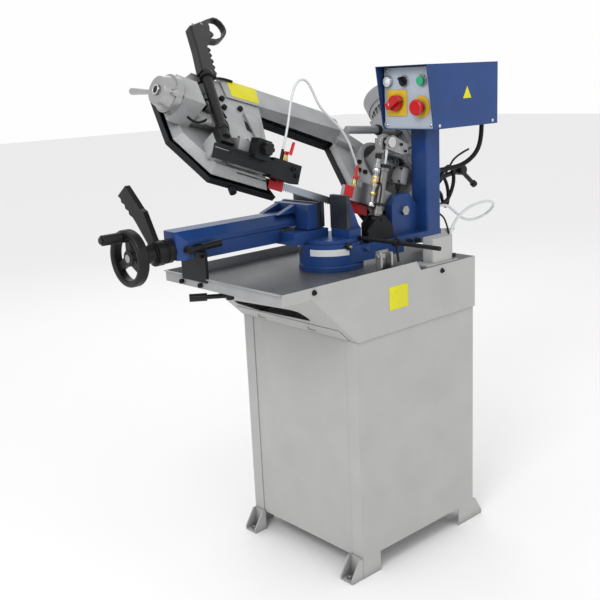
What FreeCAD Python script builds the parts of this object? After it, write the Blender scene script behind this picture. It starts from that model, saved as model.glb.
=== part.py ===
import FreeCAD, Part
import math
import os

os.makedirs("parts", exist_ok=True)

V = FreeCAD.Vector
X, Y, Z = V(1, 0, 0), V(0, 1, 0), V(0, 0, 1)

# ---------------------------------------------------------------- driving dimensions, mm
# Frame: Z up, origin on the floor at the centre of the four anchor holes.
# +X runs along the blade towards the motor, -X is the operator's end, -Y the outfeed side.

STAND_HALF_X, STAND_HALF_Y = 228.5, 218.75
STAND_TOP = 640.0
PANEL_BOTTOM = 54.0
SHEET = 2.0
LEG_X, LEG_Y = 65.0, 38.0
ANCHOR_X, ANCHOR_Y = 252.0, 196.0
ANCHOR_HOLE = 12.0

SKIRT_Y = 222.7
TRAY_LEFT, TRAY_RIGHT = -461.0, 232.0
TRAY_BACK = 236.5
TRAY_FLOOR = 780.0
RIM_TOP, RIM_BOTTOM = 805.0, 777.0
CHUTE_TOP_X = -373.0
RIM_NOTCH_X = -7.0

PIVOT_X = -95.0                 # head swivel axis and fixed jaw face, both in the blade plane y = 0
RING_R = 84.0
TABLE_TOP = 884.0
BASE_RING_TOP = 796.0
HEAD_RING_TOP = 852.0
ARM_TOP, ARM_BOTTOM = 842.0, 816.0

HINGE_X, HINGE_Z = 133.0, 905.0   # bow hinge, axis along Y
REST_TILT = 19.0                  # bow angle above horizontal in the rest pose
BLADE_Z = 955.0                   # height of the blade above the swivel axis at rest

WHEEL_R, WHEEL_W = 127.0, 24.0
IDLER_X, DRIVE_X = -329.0, 314.5   # wheel centres along the blade, from the swivel axis
BLADE_W, BLADE_T = 20.0, 0.9
RUN_GAP = 0.5                     # clearance between blade and wheel rims

COLUMN_X, COLUMN_Y, COLUMN_S = 220.0, -63.0, 58.0
BOX_X0, BOX_X1 = 148.0, 426.0
BOX_Y0, BOX_Y1 = -153.0, 27.0
BOX_Z0, BOX_Z1 = 1122.0, 1290.0
VISOR = 26.0

VISE_Y = 105.0
BEAM_LEFT = -527.0
BEAM_Y0, BEAM_Y1 = 62.0, 150.0
RAIL_Z0, SLIDE_Z0, SLIDE_Z1 = 857.0, 893.0, 927.0
SCREW_Z = 881.0
JAW_GAP = 20.0
WHEEL_X = -640.0
HANDWHEEL_R = 68.0

CYL_Y = -60.0
CYL_FOOT = V(18.0, CYL_Y, 897.0)
ROD_EYE = V(71.3, CYL_Y, 1094.9)
CYL_TUBE = 144.0

MOTOR_X, MOTOR_Z, MOTOR_R = 372.0, 100.0, 60.0   # motor axis in the bow frame, along its y


# ---------------------------------------------------------------- solid helpers
def box(x0, x1, y0, y1, z0, z1):
    return Part.makeBox(x1 - x0, y1 - y0, z1 - z0, V(x0, y0, z0))


def cyl(start, direction, radius, length):
    return Part.makeCylinder(radius, length, start, direction)


def ring(start, direction, outer, inner, length):
    return cyl(start, direction, outer, length).cut(cyl(start, direction, inner, length))


def cone(start, direction, r1, r2, length):
    return Part.makeCone(r1, r2, length, start, direction)


def rod(p, q, radius):
    return cyl(p, q - p, radius, (q - p).Length)


def ball(centre, radius):
    return Part.makeSphere(radius, centre)


def polygon(points):
    return Part.makePolygon(list(points) + [points[0]])


def prism(points, vector):
    return Part.Face(polygon(points)).extrude(vector)


def prism_xz(points, y0, y1):
    return prism([V(x, y0, z) for x, z in points], V(0, y1 - y0, 0))


def prism_xy(points, z0, z1):
    return prism([V(x, y, z0) for x, y in points], V(0, 0, z1 - z0))


def prism_yz(points, x0, x1):
    return prism([V(x0, y, z) for y, z in points], V(x1 - x0, 0, 0))


def join(shapes):
    shapes = list(shapes)
    result = shapes[0]
    if len(shapes) > 1:
        result = result.fuse(shapes[1:])
    return result.removeSplitter()


def cut(base, tools):
    return base.cut(list(tools)).removeSplitter()


def group(shapes):
    return Part.makeCompound(list(shapes))


def arc_points(cx, cy, radius, start, end, count):
    step = (end - start) / count
    angles = [math.radians(start + step * i) for i in range(count + 1)]
    return [(cx + radius * math.cos(t), cy + radius * math.sin(t)) for t in angles]


def rounded(shape, radius, pick):
    edges = [e for e in shape.Edges if pick(e)]
    return shape.makeFillet(radius, edges)


def along(edge, axis):
    tangent = edge.tangentAt(edge.FirstParameter)
    return edge.Curve.TypeId == "Part::GeomLine" and abs(abs(tangent.dot(axis)) - 1) < 1e-6


def socket_screw(head_base, direction, size, shank):
    """Socket cap screw: head outwards along direction, shank the other way."""
    head = cyl(head_base, direction, size * 0.75, size)
    socket = cyl(head_base + direction * (size * 0.45), direction, size * 0.42, size)
    return head.cut(socket).fuse(cyl(head_base, direction * -1, size / 2, shank)).removeSplitter()


def screw_hole(head_base, direction, size, depth=40):
    return cyl(head_base - direction * depth, direction, size / 2 + 0.3, depth + 0.1)


def hex_head(base, direction, flats, height):
    side = flats / math.sqrt(3)
    ref = Z if abs(direction.dot(Z)) < 0.9 else X
    e1 = direction.cross(ref).normalize()
    e2 = direction.cross(e1).normalize()
    corners = [math.radians(60 * i) for i in range(6)]
    points = [base + e1 * (side * math.cos(t)) + e2 * (side * math.sin(t)) for t in corners]
    return prism(points, direction * height)


def export(name, shape):
    solids = shape.Solids
    if not solids:
        raise ValueError(name + " has no solid")
    for solid in solids:
        if not solid.isValid() or solid.Volume <= 0:
            raise ValueError(name + " holds a bad solid")
    out = solids[0] if len(solids) == 1 else group(solids)
    out.exportStep("parts/" + name + ".step")
    print(name, len(solids), "solids", round(shape.Volume / 1000, 1), "cm3")


# ---------------------------------------------------------------- tubes along routed paths
def routed_tube(name, points, diameter):
    """Tube of straight runs joined by tangent arcs through the route's points."""
    pts = [V(*p) for p in points]
    runs = [(pts[i + 1] - pts[i]).Length for i in range(len(pts) - 1)]
    edges = []
    radii = []
    last = pts[0]
    for i in range(1, len(pts) - 1):
        d_in = (pts[i] - pts[i - 1]).normalize()
        d_out = (pts[i + 1] - pts[i]).normalize()
        turn = d_in.getAngle(d_out)
        back = 0.45 * min(runs[i - 1], runs[i])
        radius = back / math.tan(turn / 2)
        radii.append(radius)
        start = pts[i] - d_in * back
        end = pts[i] + d_out * back
        inward = (d_out - d_in).normalize()
        centre = pts[i] + inward * (radius / math.cos(turn / 2))
        middle = centre - inward * radius
        edges.append(Part.LineSegment(last, start).toShape())
        edges.append(Part.Arc(start, middle, end).toShape())
        last = end
    edges.append(Part.LineSegment(last, pts[-1]).toShape())
    path = Part.Wire(edges)
    first = (pts[1] - pts[0]).normalize()
    profile = Part.Wire([Part.makeCircle(diameter / 2, pts[0], first)])
    tube = path.makePipeShell([profile], True, False)
    expected = math.pi * diameter ** 2 / 4 * path.Length
    print(name, "length", round(path.Length), "radii", [round(r) for r in radii],
          "volume ratio", round(tube.Volume / expected, 4))
    return tube


# ---------------------------------------------------------------- the bow's own frame
# Bow frame: x along the blade towards the drive wheel, y up the wheel plane, z out of its front.
# The wheel plane leans back by 45 degrees; the guide frame below stands upright in the blade plane.
LEAN = 45.0


def bow_matrix(lean):
    tilt = FreeCAD.Rotation(Y, REST_TILT)
    roll = FreeCAD.Rotation(X, 90 - lean)
    return FreeCAD.Placement(V(PIVOT_X, 0, BLADE_Z), tilt.multiply(roll)).toMatrix()


BOW_M = bow_matrix(LEAN)
GUIDE_M = bow_matrix(90.0)


def to_bow(shape):
    return shape.transformed(BOW_M, True)


def to_guide(shape):
    return shape.transformed(GUIDE_M, True)


# ---------------------------------------------------------------- stand
def side_panel(face_y, inward):
    """Big sheet side with two legs and its flanges folded round the ends."""
    outline = [(-STAND_HALF_X, 0), (-STAND_HALF_X + LEG_X, 0), (-STAND_HALF_X + LEG_X, PANEL_BOTTOM),
               (STAND_HALF_X - LEG_X, PANEL_BOTTOM), (STAND_HALF_X - LEG_X, 0), (STAND_HALF_X, 0),
               (STAND_HALF_X, STAND_TOP), (-STAND_HALF_X, STAND_TOP)]
    sheet = prism_xz(outline, min(face_y, face_y + inward * SHEET), max(face_y, face_y + inward * SHEET))
    folds = []
    for side in (-1, 1):
        x0 = side * STAND_HALF_X
        x1 = x0 - side * SHEET
        y0, y1 = sorted((face_y, face_y + inward * LEG_Y))
        folds.append(box(min(x0, x1), max(x0, x1), y0, y1, 0, STAND_TOP))
    return join([sheet] + folds)


def end_panel(side):
    x0, x1 = sorted((side * (STAND_HALF_X - SHEET), side * (STAND_HALF_X - 2 * SHEET)))
    half = STAND_HALF_Y - SHEET
    return box(x0, x1, -half, half, PANEL_BOTTOM, STAND_TOP)


def foot(side_x, side_y):
    """Anchor foot: base, back plate against the stand and two gusset cheeks."""
    plate, width, reach, height = 4.0, 44.0, 42.0, 58.0
    x0 = side_x * STAND_HALF_X
    x1 = x0 + side_x * reach
    yc = side_y * ANCHOR_Y
    base = box(min(x0, x1), max(x0, x1), yc - width / 2, yc + width / 2, 0, plate)
    back_x = sorted((x0, x0 + side_x * plate))
    back = box(back_x[0], back_x[1], yc - width / 2, yc + width / 2, 0, height)
    cheeks = []
    for edge in (-1, 1):
        y0 = yc + edge * (width / 2 - plate / 2) - plate / 2
        cheeks.append(prism_xz([(x0, 0), (x1, 0), (x1, 12), (x0 + side_x * 12, height), (x0, height)], y0,
                               y0 + plate))
    hole = cyl(V(side_x * ANCHOR_X, yc, -1), Z, ANCHOR_HOLE / 2, plate + 2)
    return cut(join([base, back] + cheeks), [hole])


export("stand_sides", group([side_panel(-STAND_HALF_Y, 1), side_panel(STAND_HALF_Y, -1)]))
export("stand_ends", group(end_panel(i) for i in (-1, 1)))
export("foot_brackets", group(foot(i, j) for i in (-1, 1) for j in (-1, 1)))

# ---------------------------------------------------------------- skirt, chute and chip tray
SKIRT_LEFT_X = -STAND_HALF_X
SKIRT_SCREWS = [(-365, 793), (92, 764)]
RIM_SCREWS = [V(TRAY_LEFT, y, 786) for y in (82, 161)]
SKIRT_PROFILE = [(TRAY_LEFT, RIM_TOP), (TRAY_LEFT, RIM_BOTTOM), (CHUTE_TOP_X, RIM_BOTTOM),
                 (SKIRT_LEFT_X, STAND_TOP), (TRAY_RIGHT, STAND_TOP), (TRAY_RIGHT, TRAY_FLOOR),
                 (RIM_NOTCH_X + 16, TRAY_FLOOR), (RIM_NOTCH_X, RIM_TOP)]


def skirt_side(side):
    y0, y1 = sorted((side * SKIRT_Y, side * (SKIRT_Y - SHEET)))
    sheet = prism_xz(SKIRT_PROFILE, y0, y1)
    f0, f1 = sorted((side * (SKIRT_Y - SHEET), side * (SKIRT_Y - 26)))
    flange = box(SKIRT_LEFT_X + 6, TRAY_RIGHT - SHEET, f0, f1, STAND_TOP, STAND_TOP + SHEET)
    holes = [screw_hole(V(x, side * SKIRT_Y, z), Y * side, 6) for x, z in SKIRT_SCREWS]
    panel = cut(join([sheet, flange]), holes)
    return panel if side < 0 else panel.cut(box(TRAY_LEFT - 1, TRAY_RIGHT + 1, y0 - 1, y1 + 1, RIM_BOTTOM,
                                                RIM_TOP + 1))


CHUTE_NORMAL = V(-(RIM_BOTTOM - STAND_TOP), 0, -(SKIRT_LEFT_X - CHUTE_TOP_X)).normalize()
CHUTE_SLOT = [(184, 698), (182, 685), (100, 677), (-109, 686), (-116, 697), (-99, 715), (-68, 716)]


def chute_x(z):
    return SKIRT_LEFT_X + (CHUTE_TOP_X - SKIRT_LEFT_X) * (z - STAND_TOP) / (RIM_BOTTOM - STAND_TOP)


def chute_sheet(z0, z1, half_y, offset):
    """Sheet lying in the slope of the chute, offset outwards along its normal."""
    shift = CHUTE_NORMAL * offset
    corners = [V(chute_x(z), y, z) + shift for y, z in
               ((-half_y, z0), (half_y, z0), (half_y, z1), (-half_y, z1))]
    return prism(corners, CHUTE_NORMAL * -SHEET)


def chute_cutter(points):
    base = [V(chute_x(z), y, z) + CHUTE_NORMAL * 8 for y, z in points]
    return prism(base, CHUTE_NORMAL * -20)


chute_half = SKIRT_Y - SHEET
chute = cut(chute_sheet(STAND_TOP + 1, RIM_BOTTOM - 2, chute_half, 0), [chute_cutter(CHUTE_SLOT)])
grips = [[(-75 + 16, 650), (-75 - 16, 650), (-75, 666)], [(122 + 16, 650), (122 - 16, 650), (122, 666)]]
screen = cut(chute_sheet(STAND_TOP + 4, 676, chute_half - 22, SHEET), [chute_cutter(g) for g in grips])
skirt_end = box(TRAY_RIGHT - SHEET, TRAY_RIGHT, -chute_half, chute_half, STAND_TOP, TRAY_FLOOR - SHEET)
export("skirt_panels", group([skirt_side(-1), skirt_side(1), skirt_end]))
export("chute_panel", group([chute, screen]))

tray_floor = box(TRAY_LEFT + SHEET, TRAY_RIGHT, -chute_half, TRAY_BACK - SHEET, TRAY_FLOOR - SHEET,
                 TRAY_FLOOR)
rim_left = box(TRAY_LEFT, TRAY_LEFT + SHEET, -chute_half, TRAY_BACK, RIM_BOTTOM, RIM_TOP)
rim_back = prism_xz([(TRAY_LEFT, RIM_TOP), (TRAY_LEFT, RIM_BOTTOM), (TRAY_RIGHT, RIM_BOTTOM),
                     (TRAY_RIGHT, TRAY_FLOOR),
                     (RIM_NOTCH_X + 16, TRAY_FLOOR), (RIM_NOTCH_X, RIM_TOP)], TRAY_BACK - SHEET, TRAY_BACK)
lip_left = box(TRAY_LEFT - 6, TRAY_LEFT, -chute_half, TRAY_BACK, RIM_TOP - SHEET, RIM_TOP)
BRACKET = [(54, 795), (156, 795), (156, 872), (54, 872)]
bracket_room = prism_yz(BRACKET, -467, TRAY_LEFT)
tray_holes = [screw_hole(p, X * -1, 8) for p in RIM_SCREWS]
export("chip_tray", cut(join([tray_floor, rim_left, rim_back, lip_left]), [bracket_room] + tray_holes))

rim_screws = [socket_screw(p, X * -1, 8, 8) for p in RIM_SCREWS]
skirt_screws = [socket_screw(V(x, -SKIRT_Y, z), Y * -1, 6, 8) for x, z in SKIRT_SCREWS]


# ---------------------------------------------------------------- turntable base, bed and fixed vise parts
SWIVEL = V(PIVOT_X, 0, 0)
PILLAR_R = 45.0
base_ring = cyl(SWIVEL + V(0, 0, TRAY_FLOOR), Z, RING_R + 2, BASE_RING_TOP - TRAY_FLOOR)
top_rim = [e for e in base_ring.Edges if e.Vertexes and e.BoundBox.ZMin > BASE_RING_TOP - 1]
base_ring = base_ring.makeChamfer(2, top_rim)

BED_BOTTOM = HEAD_RING_TOP + 0.6
BED_LOW = 862.0
pillar = cyl(SWIVEL + V(0, 0, BASE_RING_TOP), Z, PILLAR_R, BED_BOTTOM - BASE_RING_TOP)
bed_disc = cyl(SWIVEL + V(0, 0, BED_BOTTOM), Z, RING_R - 4, BED_LOW - BED_BOTTOM)
infeed = prism_xy([(-216, 6), (PIVOT_X - 0.5, 6), (PIVOT_X - 0.5, 26), (-80, 40), (-80, 150), (-216, 150)],
                  BED_BOTTOM, TABLE_TOP)
outfeed = prism_xy([(PIVOT_X, -5), (-58, -5), (-58, -14), (-38, -14), (-38, -56), (-52, -72),
                    (PIVOT_X, -72)], BED_BOTTOM, TABLE_TOP)
screw_way = box(-217, -150, VISE_Y - 14, VISE_Y + 14, 870, TABLE_TOP + 1)
export("base_ring", join([base_ring, pillar]))

JAW_X = PIVOT_X
front_jaw = box(JAW_X, JAW_X + 12, -65, -3, TABLE_TOP, 972)
rear_jaw = box(JAW_X, JAW_X + 12, 32, 140, TABLE_TOP, 966)
export("fixed_jaw_plates", group([front_jaw, rear_jaw]))

rib_pts = [(JAW_X + 12, TABLE_TOP), (JAW_X + 56, TABLE_TOP), (JAW_X + 50, 892), (JAW_X + 20, 960),
           (JAW_X + 12, 960)]
rear_rib = [(JAW_X + 12, TABLE_TOP), (-80, TABLE_TOP), (-80, 950), (JAW_X + 12, 955)]
backing = [prism_xz(rib_pts, -56, -38), prism_xz(rear_rib, 48, 130)]
bed = cut(join([bed_disc, infeed, outfeed] + backing), [screw_way])
export("vise_bed", bed)

rail = box(-457, -216, BEAM_Y0, BEAM_Y1, RAIL_Z0, SLIDE_Z0 - 1.2)
rail_slot = box(-458, -215, BEAM_Y0 + 18, BEAM_Y1 - 18, RAIL_Z0 + 8, SLIDE_Z0)

SCREW_R = 10.0
nut = box(-446, -404, VISE_Y - 22, VISE_Y + 22, RAIL_Z0 + 8, SLIDE_Z0 - 1.2)
nut = cut(nut, [cyl(V(-447, VISE_Y, SCREW_Z), X, SCREW_R + 0.05, 44)])
export("vise_rail", join([cut(rail, [rail_slot]), nut]))

# Upright plate between the tray rim and the rail, with a round notch under the screw.
RAIL_BOLTS = [V(-465, y, 860) for y in (66, 144)]
bracket = prism_yz(BRACKET, -465, -457)
notch = cyl(V(-466, VISE_Y, SCREW_Z), X, 24, 12)
rim_step = box(TRAY_LEFT, -456, 50, 160, 790, RIM_TOP)
export("rail_bracket", cut(bracket, [notch, rim_step] + [screw_hole(p, X * -1, 5) for p in RAIL_BOLTS]))
rail_bolts = [socket_screw(p, X * -1, 5, 7) for p in RAIL_BOLTS]
export("frame_screws", group(rim_screws + skirt_screws + rail_bolts))

# ---------------------------------------------------------------- sliding half of the vise
BLOCK_X = -490.0
BEVEL = 22.0
beam_profile = [(BEAM_Y0, SLIDE_Z0), (BEAM_Y1, SLIDE_Z0), (BEAM_Y1, SLIDE_Z1 - 14),
                (BEAM_Y1 - 14, SLIDE_Z1),
                (BEAM_Y0 + BEVEL, SLIDE_Z1), (BEAM_Y0, SLIDE_Z1 - BEVEL)]
beam = prism_yz(beam_profile, BEAM_LEFT, -152)
end_block = prism_yz([(BEAM_Y0, 864), (BEAM_Y0 + 8, 858), (BEAM_Y1 - 8, 858), (BEAM_Y1, 864),
                      (BEAM_Y1, SLIDE_Z0),
                      (BEAM_Y0, SLIDE_Z0)], BEAM_LEFT, BLOCK_X)
corner_cuts = [prism_xy([(BEAM_LEFT - 1, y), (BEAM_LEFT + 21, y), (BEAM_LEFT - 1, y + s * 22)], 850, 930)
               for y, s in ((BEAM_Y0 - 1, 1), (BEAM_Y1 + 1, -1))]
screw_groove = cyl(V(BEAM_LEFT - 1, VISE_Y, SCREW_Z), X, SCREW_R + 3, 400)
beam = cut(join([beam, end_block]), corner_cuts + [screw_groove])

MOVE_X = JAW_X - JAW_GAP
MOVE_Y0, MOVE_Y1 = 14.0, 150.0
JAW_BOTTOM = TABLE_TOP + 2
body_pts = [(MOVE_X - 12, JAW_BOTTOM), (MOVE_X - 12, 950), (MOVE_X - 40, 950), (MOVE_X - 46, JAW_BOTTOM)]
jaw_body = prism_xz(body_pts, MOVE_Y0, MOVE_Y1)
ribs = [prism_xz([(MOVE_X - 42, SLIDE_Z1), (MOVE_X - 40, 948), (MOVE_X - 100, SLIDE_Z1)], y,
                 y + 16) for y in (66, 130)]
jaw_seat = box(MOVE_X - 60, MOVE_X - 12, BEAM_Y0, MOVE_Y1 + 1, JAW_BOTTOM - 1, SLIDE_Z1)
export("vise_beam", join([beam, jaw_body.cut(jaw_seat)] + ribs))
rail_step = box(MOVE_X - 13, MOVE_X + 1, BEAM_Y0 - 0.5, MOVE_Y1 + 1, JAW_BOTTOM - 1, SLIDE_Z0)
export("moving_jaw_plate", box(MOVE_X - 12, MOVE_X, MOVE_Y0, MOVE_Y1, JAW_BOTTOM, 953).cut(rail_step))

BOSS_X = -580.0
boss = ring(V(BOSS_X, VISE_Y, SCREW_Z), X, 26, SCREW_R + 0.06, BEAM_LEFT - BOSS_X)
boss = boss.fuse(ring(V(BOSS_X + 34, VISE_Y, SCREW_Z), X, 29, SCREW_R + 0.06, 14)).removeSplitter()
export("screw_boss", boss)

# Quick clamp lever on the boss, turning about the screw axis.
LEVER_X = BOSS_X + 4
collar = ring(V(LEVER_X, VISE_Y, SCREW_Z), X, 31, 26.06, 20)
steps = [(212, 1036), (250, 1009), (238, 1003), (236, 994), (222, 989), (220, 980), (206, 975), (204, 966),
         (190, 961), (181, 953), (127, 896)]
blade_outline = [(101, 908), (141, 978), (154, 984)] + steps
lever = prism_yz(blade_outline, LEVER_X + 3, LEVER_X + 17)
lever = lever.cut(cyl(V(LEVER_X, VISE_Y, SCREW_Z), X, 26.06, 20))
export("clamp_lever", join([collar, lever]))

# Slide lock handle on the side of the beam, turning about Y.
LOCK = V(-510, BEAM_Y0, 884)
lock_hub = cyl(LOCK, Y * -1, 10, 12)
lock_arm = rod(LOCK + V(0, -12, 0), LOCK + V(34, -18, 4), 6)
lock_grip = cyl(LOCK + V(30, -18, 4), V(58, -2, 3).normalize(), 8.5, 56)
lock_shape = join([lock_hub, cyl(LOCK + V(0, -12, 0), Y * -1, 10, 6), lock_arm, lock_grip])
export("slide_lock_handle", lock_shape.cut(box(-540, -400, BEAM_Y0, BEAM_Y0 + 20, 850, 930)))

# ---------------------------------------------------------------- handwheel and screw
RIM_X0, RIM_X1 = WHEEL_X - 16, WHEEL_X + 12
HUB_END = BOSS_X - 0.5
centre = V(0, VISE_Y, SCREW_Z)
rim = ring(V(RIM_X0, VISE_Y, SCREW_Z), X, HANDWHEEL_R, HANDWHEEL_R - 16, RIM_X1 - RIM_X0)
rim = rim.makeFillet(7, [e for e in rim.Edges if e.Curve.TypeId == "Part::GeomCircle"])
hub = cone(V(WHEEL_X - 6, VISE_Y, SCREW_Z), X, 19, 22, HUB_END - WHEEL_X + 6)
spokes = []
for angle in (90, 210, 330):
    t = math.radians(angle)
    spoke = prism_yz([(-11, 8), (11, 8), (9, HANDWHEEL_R - 8), (-9, HANDWHEEL_R - 8)], WHEEL_X - 4,
                     WHEEL_X + 8)
    spoke.rotate(V(0, 0, 0), X, angle - 90)
    spoke.translate(centre)
    spokes.append(spoke)
crank_seat = cyl(V(RIM_X0 - 2, VISE_Y, SCREW_Z + 52), X, 13, 18)
wheel = join([rim, hub] + spokes + [crank_seat])
wheel = wheel.cut(cyl(V(WHEEL_X - 60, VISE_Y, SCREW_Z), X, SCREW_R, 200))
CRANK = V(RIM_X0 - 2, VISE_Y, SCREW_Z + 52)
GRIP_LENGTH = 52.0
crank_pin = cyl(CRANK, X * -1, 5, GRIP_LENGTH + 1.5)
pin_head = cyl(CRANK + V(-GRIP_LENGTH - 1.5, 0, 0), X * -1, 8, 3)
export("handwheel", join([wheel, crank_pin, pin_head]))
grip = ring(CRANK + V(-GRIP_LENGTH - 1, 0, 0), X, 12.5, 5.06, GRIP_LENGTH)
export("crank_grip", grip.makeFillet(3, [e for e in grip.Edges if e.Curve.TypeId == "Part::GeomCircle"
                                         and abs(e.Curve.Radius - 12.5) < 0.01]))
vise_screw = cyl(V(WHEEL_X - 8, VISE_Y, SCREW_Z), X, SCREW_R, 405)
export("vise_screw", vise_screw)

# ---------------------------------------------------------------- stop rod, swivel lock, coolant pump
STOP_X, STOP_Z = -62.0, 860.0
stop_bar = cyl(V(STOP_X, -70, STOP_Z), Y * -1, 5.5, 273)
export("stop_rod", stop_bar.cut(bed))
collar = ring(V(STOP_X, -196, STOP_Z), Y * -1, 10, 5.56, 16)
finger = rod(V(STOP_X, -204, STOP_Z - 7), V(STOP_X, -210, 812), 3.2)
screw_top = cyl(V(STOP_X, -204, STOP_Z + 8), Z, 4.5, 8)
stop_collar = join([collar, finger, screw_top]).cut(cyl(V(STOP_X, -180, STOP_Z), Y * -1, 5.56, 60))
export("stop_collar", stop_collar)

# ---------------------------------------------------------------- swivelling head: ring, arm, column
RING_Z0 = BASE_RING_TOP + 0.4
ARM_FACE = -34.0                # nothing of the head comes nearer the blade plane than this
head_ring = ring(SWIVEL + V(0, 0, RING_Z0), Z, RING_R, PILLAR_R + 0.05, HEAD_RING_TOP - RING_Z0)
arm_low = prism_xy([(PIVOT_X, -RING_R), (96, -88), (96, ARM_FACE), (-22, ARM_FACE), (PIVOT_X, -52)], 799,
                   ARM_TOP)
arm_high = prism_xy([(90, -88), (COLUMN_X + 29, -92), (COLUMN_X + 29, ARM_FACE), (90, ARM_FACE)],
                    ARM_BOTTOM, ARM_TOP)
index_boss = cyl(V(PIVOT_X + 40, -72, HEAD_RING_TOP - 20), V(0.35, -1, 0).normalize(), 8, 22)
head_arm = join([head_ring, arm_low, arm_high, index_boss])
head_arm = head_arm.cut(cyl(SWIVEL + V(0, 0, 790), Z, PILLAR_R + 0.05, 80))

scale = ring(SWIVEL + V(0, 0, 823), Z, RING_R + 1.2, RING_R + 0.01, 17)
wedge = prism_xy([(PIVOT_X, 0), (PIVOT_X - 150, -20), (PIVOT_X - 100, -160), (PIVOT_X - 25, -150)], 820,
                 845)
export("angle_scale", scale.common(wedge))

COLUMN_WALL = 5.0
half = COLUMN_S / 2
cx0, cx1, cy0, cy1 = COLUMN_X - half, COLUMN_X + half, COLUMN_Y - half, COLUMN_Y + half
post = box(cx0, cx1, cy0, cy1, ARM_TOP, BOX_Z0)
post = rounded(post, 6, lambda e: along(e, Z))
bore = box(cx0 + COLUMN_WALL, cx1 - COLUMN_WALL, cy0 + COLUMN_WALL, cy1 - COLUMN_WALL, ARM_TOP + 8,
           BOX_Z0 - 8)

PIN_R = 8.0
bracket_pts = [(84, ARM_TOP), (84, 926), (112, 950), (154, 950), (cx0, 912), (cx0, ARM_TOP)]
hinge_plate = prism_xz(bracket_pts, -58, ARM_FACE)
hinge_plate = hinge_plate.cut(cyl(V(HINGE_X, -70, HINGE_Z), Y, PIN_R, 60))
gland = cyl(V(cx1, -62, 1000), X, 13, 22)
nozzle = cyl(V(cx1, -72, 902), X, 5, 14)
export("swivel_arm", join([head_arm, post.cut(bore), hinge_plate, gland, nozzle]))
pin = cyl(V(HINGE_X, -58, HINGE_Z), Y, PIN_R, 54)
pin_cap = hex_head(V(HINGE_X, -58, HINGE_Z), Y * -1, 24, 8)
export("hinge_pin", pin.fuse(pin_cap).removeSplitter())

# Foot clevis of the lowering cylinder.
cheek = [(-34, ARM_TOP), (-34, 872), (4, 906), (32, 906), (62, 872), (62, ARM_TOP)]
cheeks = [prism_xz(cheek, CYL_Y + s * 18.5 - 3, CYL_Y + s * 18.5 + 3) for s in (-1, 1)]
clevis_base = box(-34, 62, CYL_Y - 21.5, CYL_Y + 21.5, ARM_TOP, ARM_TOP + 6)
foot_pin = cyl(V(CYL_FOOT.x, CYL_Y - 24, CYL_FOOT.z), Y, 5, 48)
bed_clearance = cyl(SWIVEL + V(0, 0, ARM_TOP - 20), Z, RING_R + 3, 100)
export("cylinder_clevis", cut(join(cheeks + [clevis_base, foot_pin]), [bed_clearance]))

# ---------------------------------------------------------------- lowering cylinder
CYL_AXIS = (ROD_EYE - CYL_FOOT).normalize()
CYL_SIDE = V(-CYL_AXIS.z, 0, CYL_AXIS.x)
TUBE_R, PISTON_R, ROD_R = 13.0, 10.0, 5.0


def on_cyl(distance, side=0.0, across=0.0):
    return CYL_FOOT + CYL_AXIS * distance + CYL_SIDE * side + V(0, across, 0)


foot_eye = cyl(on_cyl(0, 0, -7), Y, 10, 14)
tube = cyl(on_cyl(8), CYL_AXIS, TUBE_R, CYL_TUBE - 8)
gland = cyl(on_cyl(CYL_TUBE - 16), CYL_AXIS, TUBE_R + 2.5, 14)
foot_cap = cyl(on_cyl(12), CYL_AXIS, TUBE_R + 2, 12)
cylinder = join([foot_eye, tube, gland, foot_cap])
cylinder = cut(cylinder, [cyl(on_cyl(26), CYL_AXIS, PISTON_R + 0.05, CYL_TUBE - 26 - 10),
                          cyl(on_cyl(60), CYL_AXIS, ROD_R + 0.05, CYL_TUBE),
                          cyl(on_cyl(0, 0, -12), Y, 5.06, 24)])
export("lowering_cylinder", cylinder)

VALVE_SIDE = 27.0
port = rod(on_cyl(CYL_TUBE - 9, TUBE_R + 2.6), on_cyl(CYL_TUBE - 9, VALVE_SIDE), 6)
valve_body = cyl(on_cyl(78, VALVE_SIDE), CYL_AXIS, 7, 78)
collars = [cyl(on_cyl(d, VALVE_SIDE), CYL_AXIS, 9.5, 8) for d in (82, 100, 118, 136)]
lower_port = rod(on_cyl(40, TUBE_R), on_cyl(40, VALVE_SIDE), 5)
bypass = cyl(on_cyl(34, VALVE_SIDE), CYL_AXIS, 4.5, 46)
valve = join([port, valve_body, lower_port, bypass] + collars)
valve = valve.cut(cyl(on_cyl(0), CYL_AXIS, TUBE_R + 2.6, 200)).cut(cyl(on_cyl(150, VALVE_SIDE), CYL_AXIS,
                                                                       3.05, 20))
export("feed_valve", join([valve, rod(on_cyl(CYL_TUBE - 9, TUBE_R + 2.55),
                                      on_cyl(CYL_TUBE - 9, TUBE_R + 4), 5)]))
knob = cyl(on_cyl(157, VALVE_SIDE), CYL_AXIS, 9, 12)
flutes = [cyl(on_cyl(156, VALVE_SIDE + 10 * math.cos(math.radians(a)), 10 * math.sin(math.radians(a))),
              CYL_AXIS, 2, 14)
          for a in range(0, 360, 45)]
export("valve_knob", cut(knob, flutes).fuse(cyl(on_cyl(151, VALVE_SIDE), CYL_AXIS, 3, 8)).removeSplitter())

EYE_D = (ROD_EYE - CYL_FOOT).Length
PISTON_D = 72.0
rod_bar = cyl(on_cyl(PISTON_D), CYL_AXIS, ROD_R, EYE_D - PISTON_D - 6)
piston = cyl(on_cyl(PISTON_D), CYL_AXIS, PISTON_R, 14)
eye = cyl(on_cyl(EYE_D, 0, -6), Y, 9, 12)
eye_pin = cyl(on_cyl(EYE_D, 0, -17), Y, 4, 34)
pin_heads = [cyl(on_cyl(EYE_D, 0, s), Y * (1 if s > 0 else -1), 14, 3.5) for s in (-13.6, 13.6)]
export("piston_rod", join([rod_bar, piston, eye, eye_pin] + pin_heads))

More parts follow.
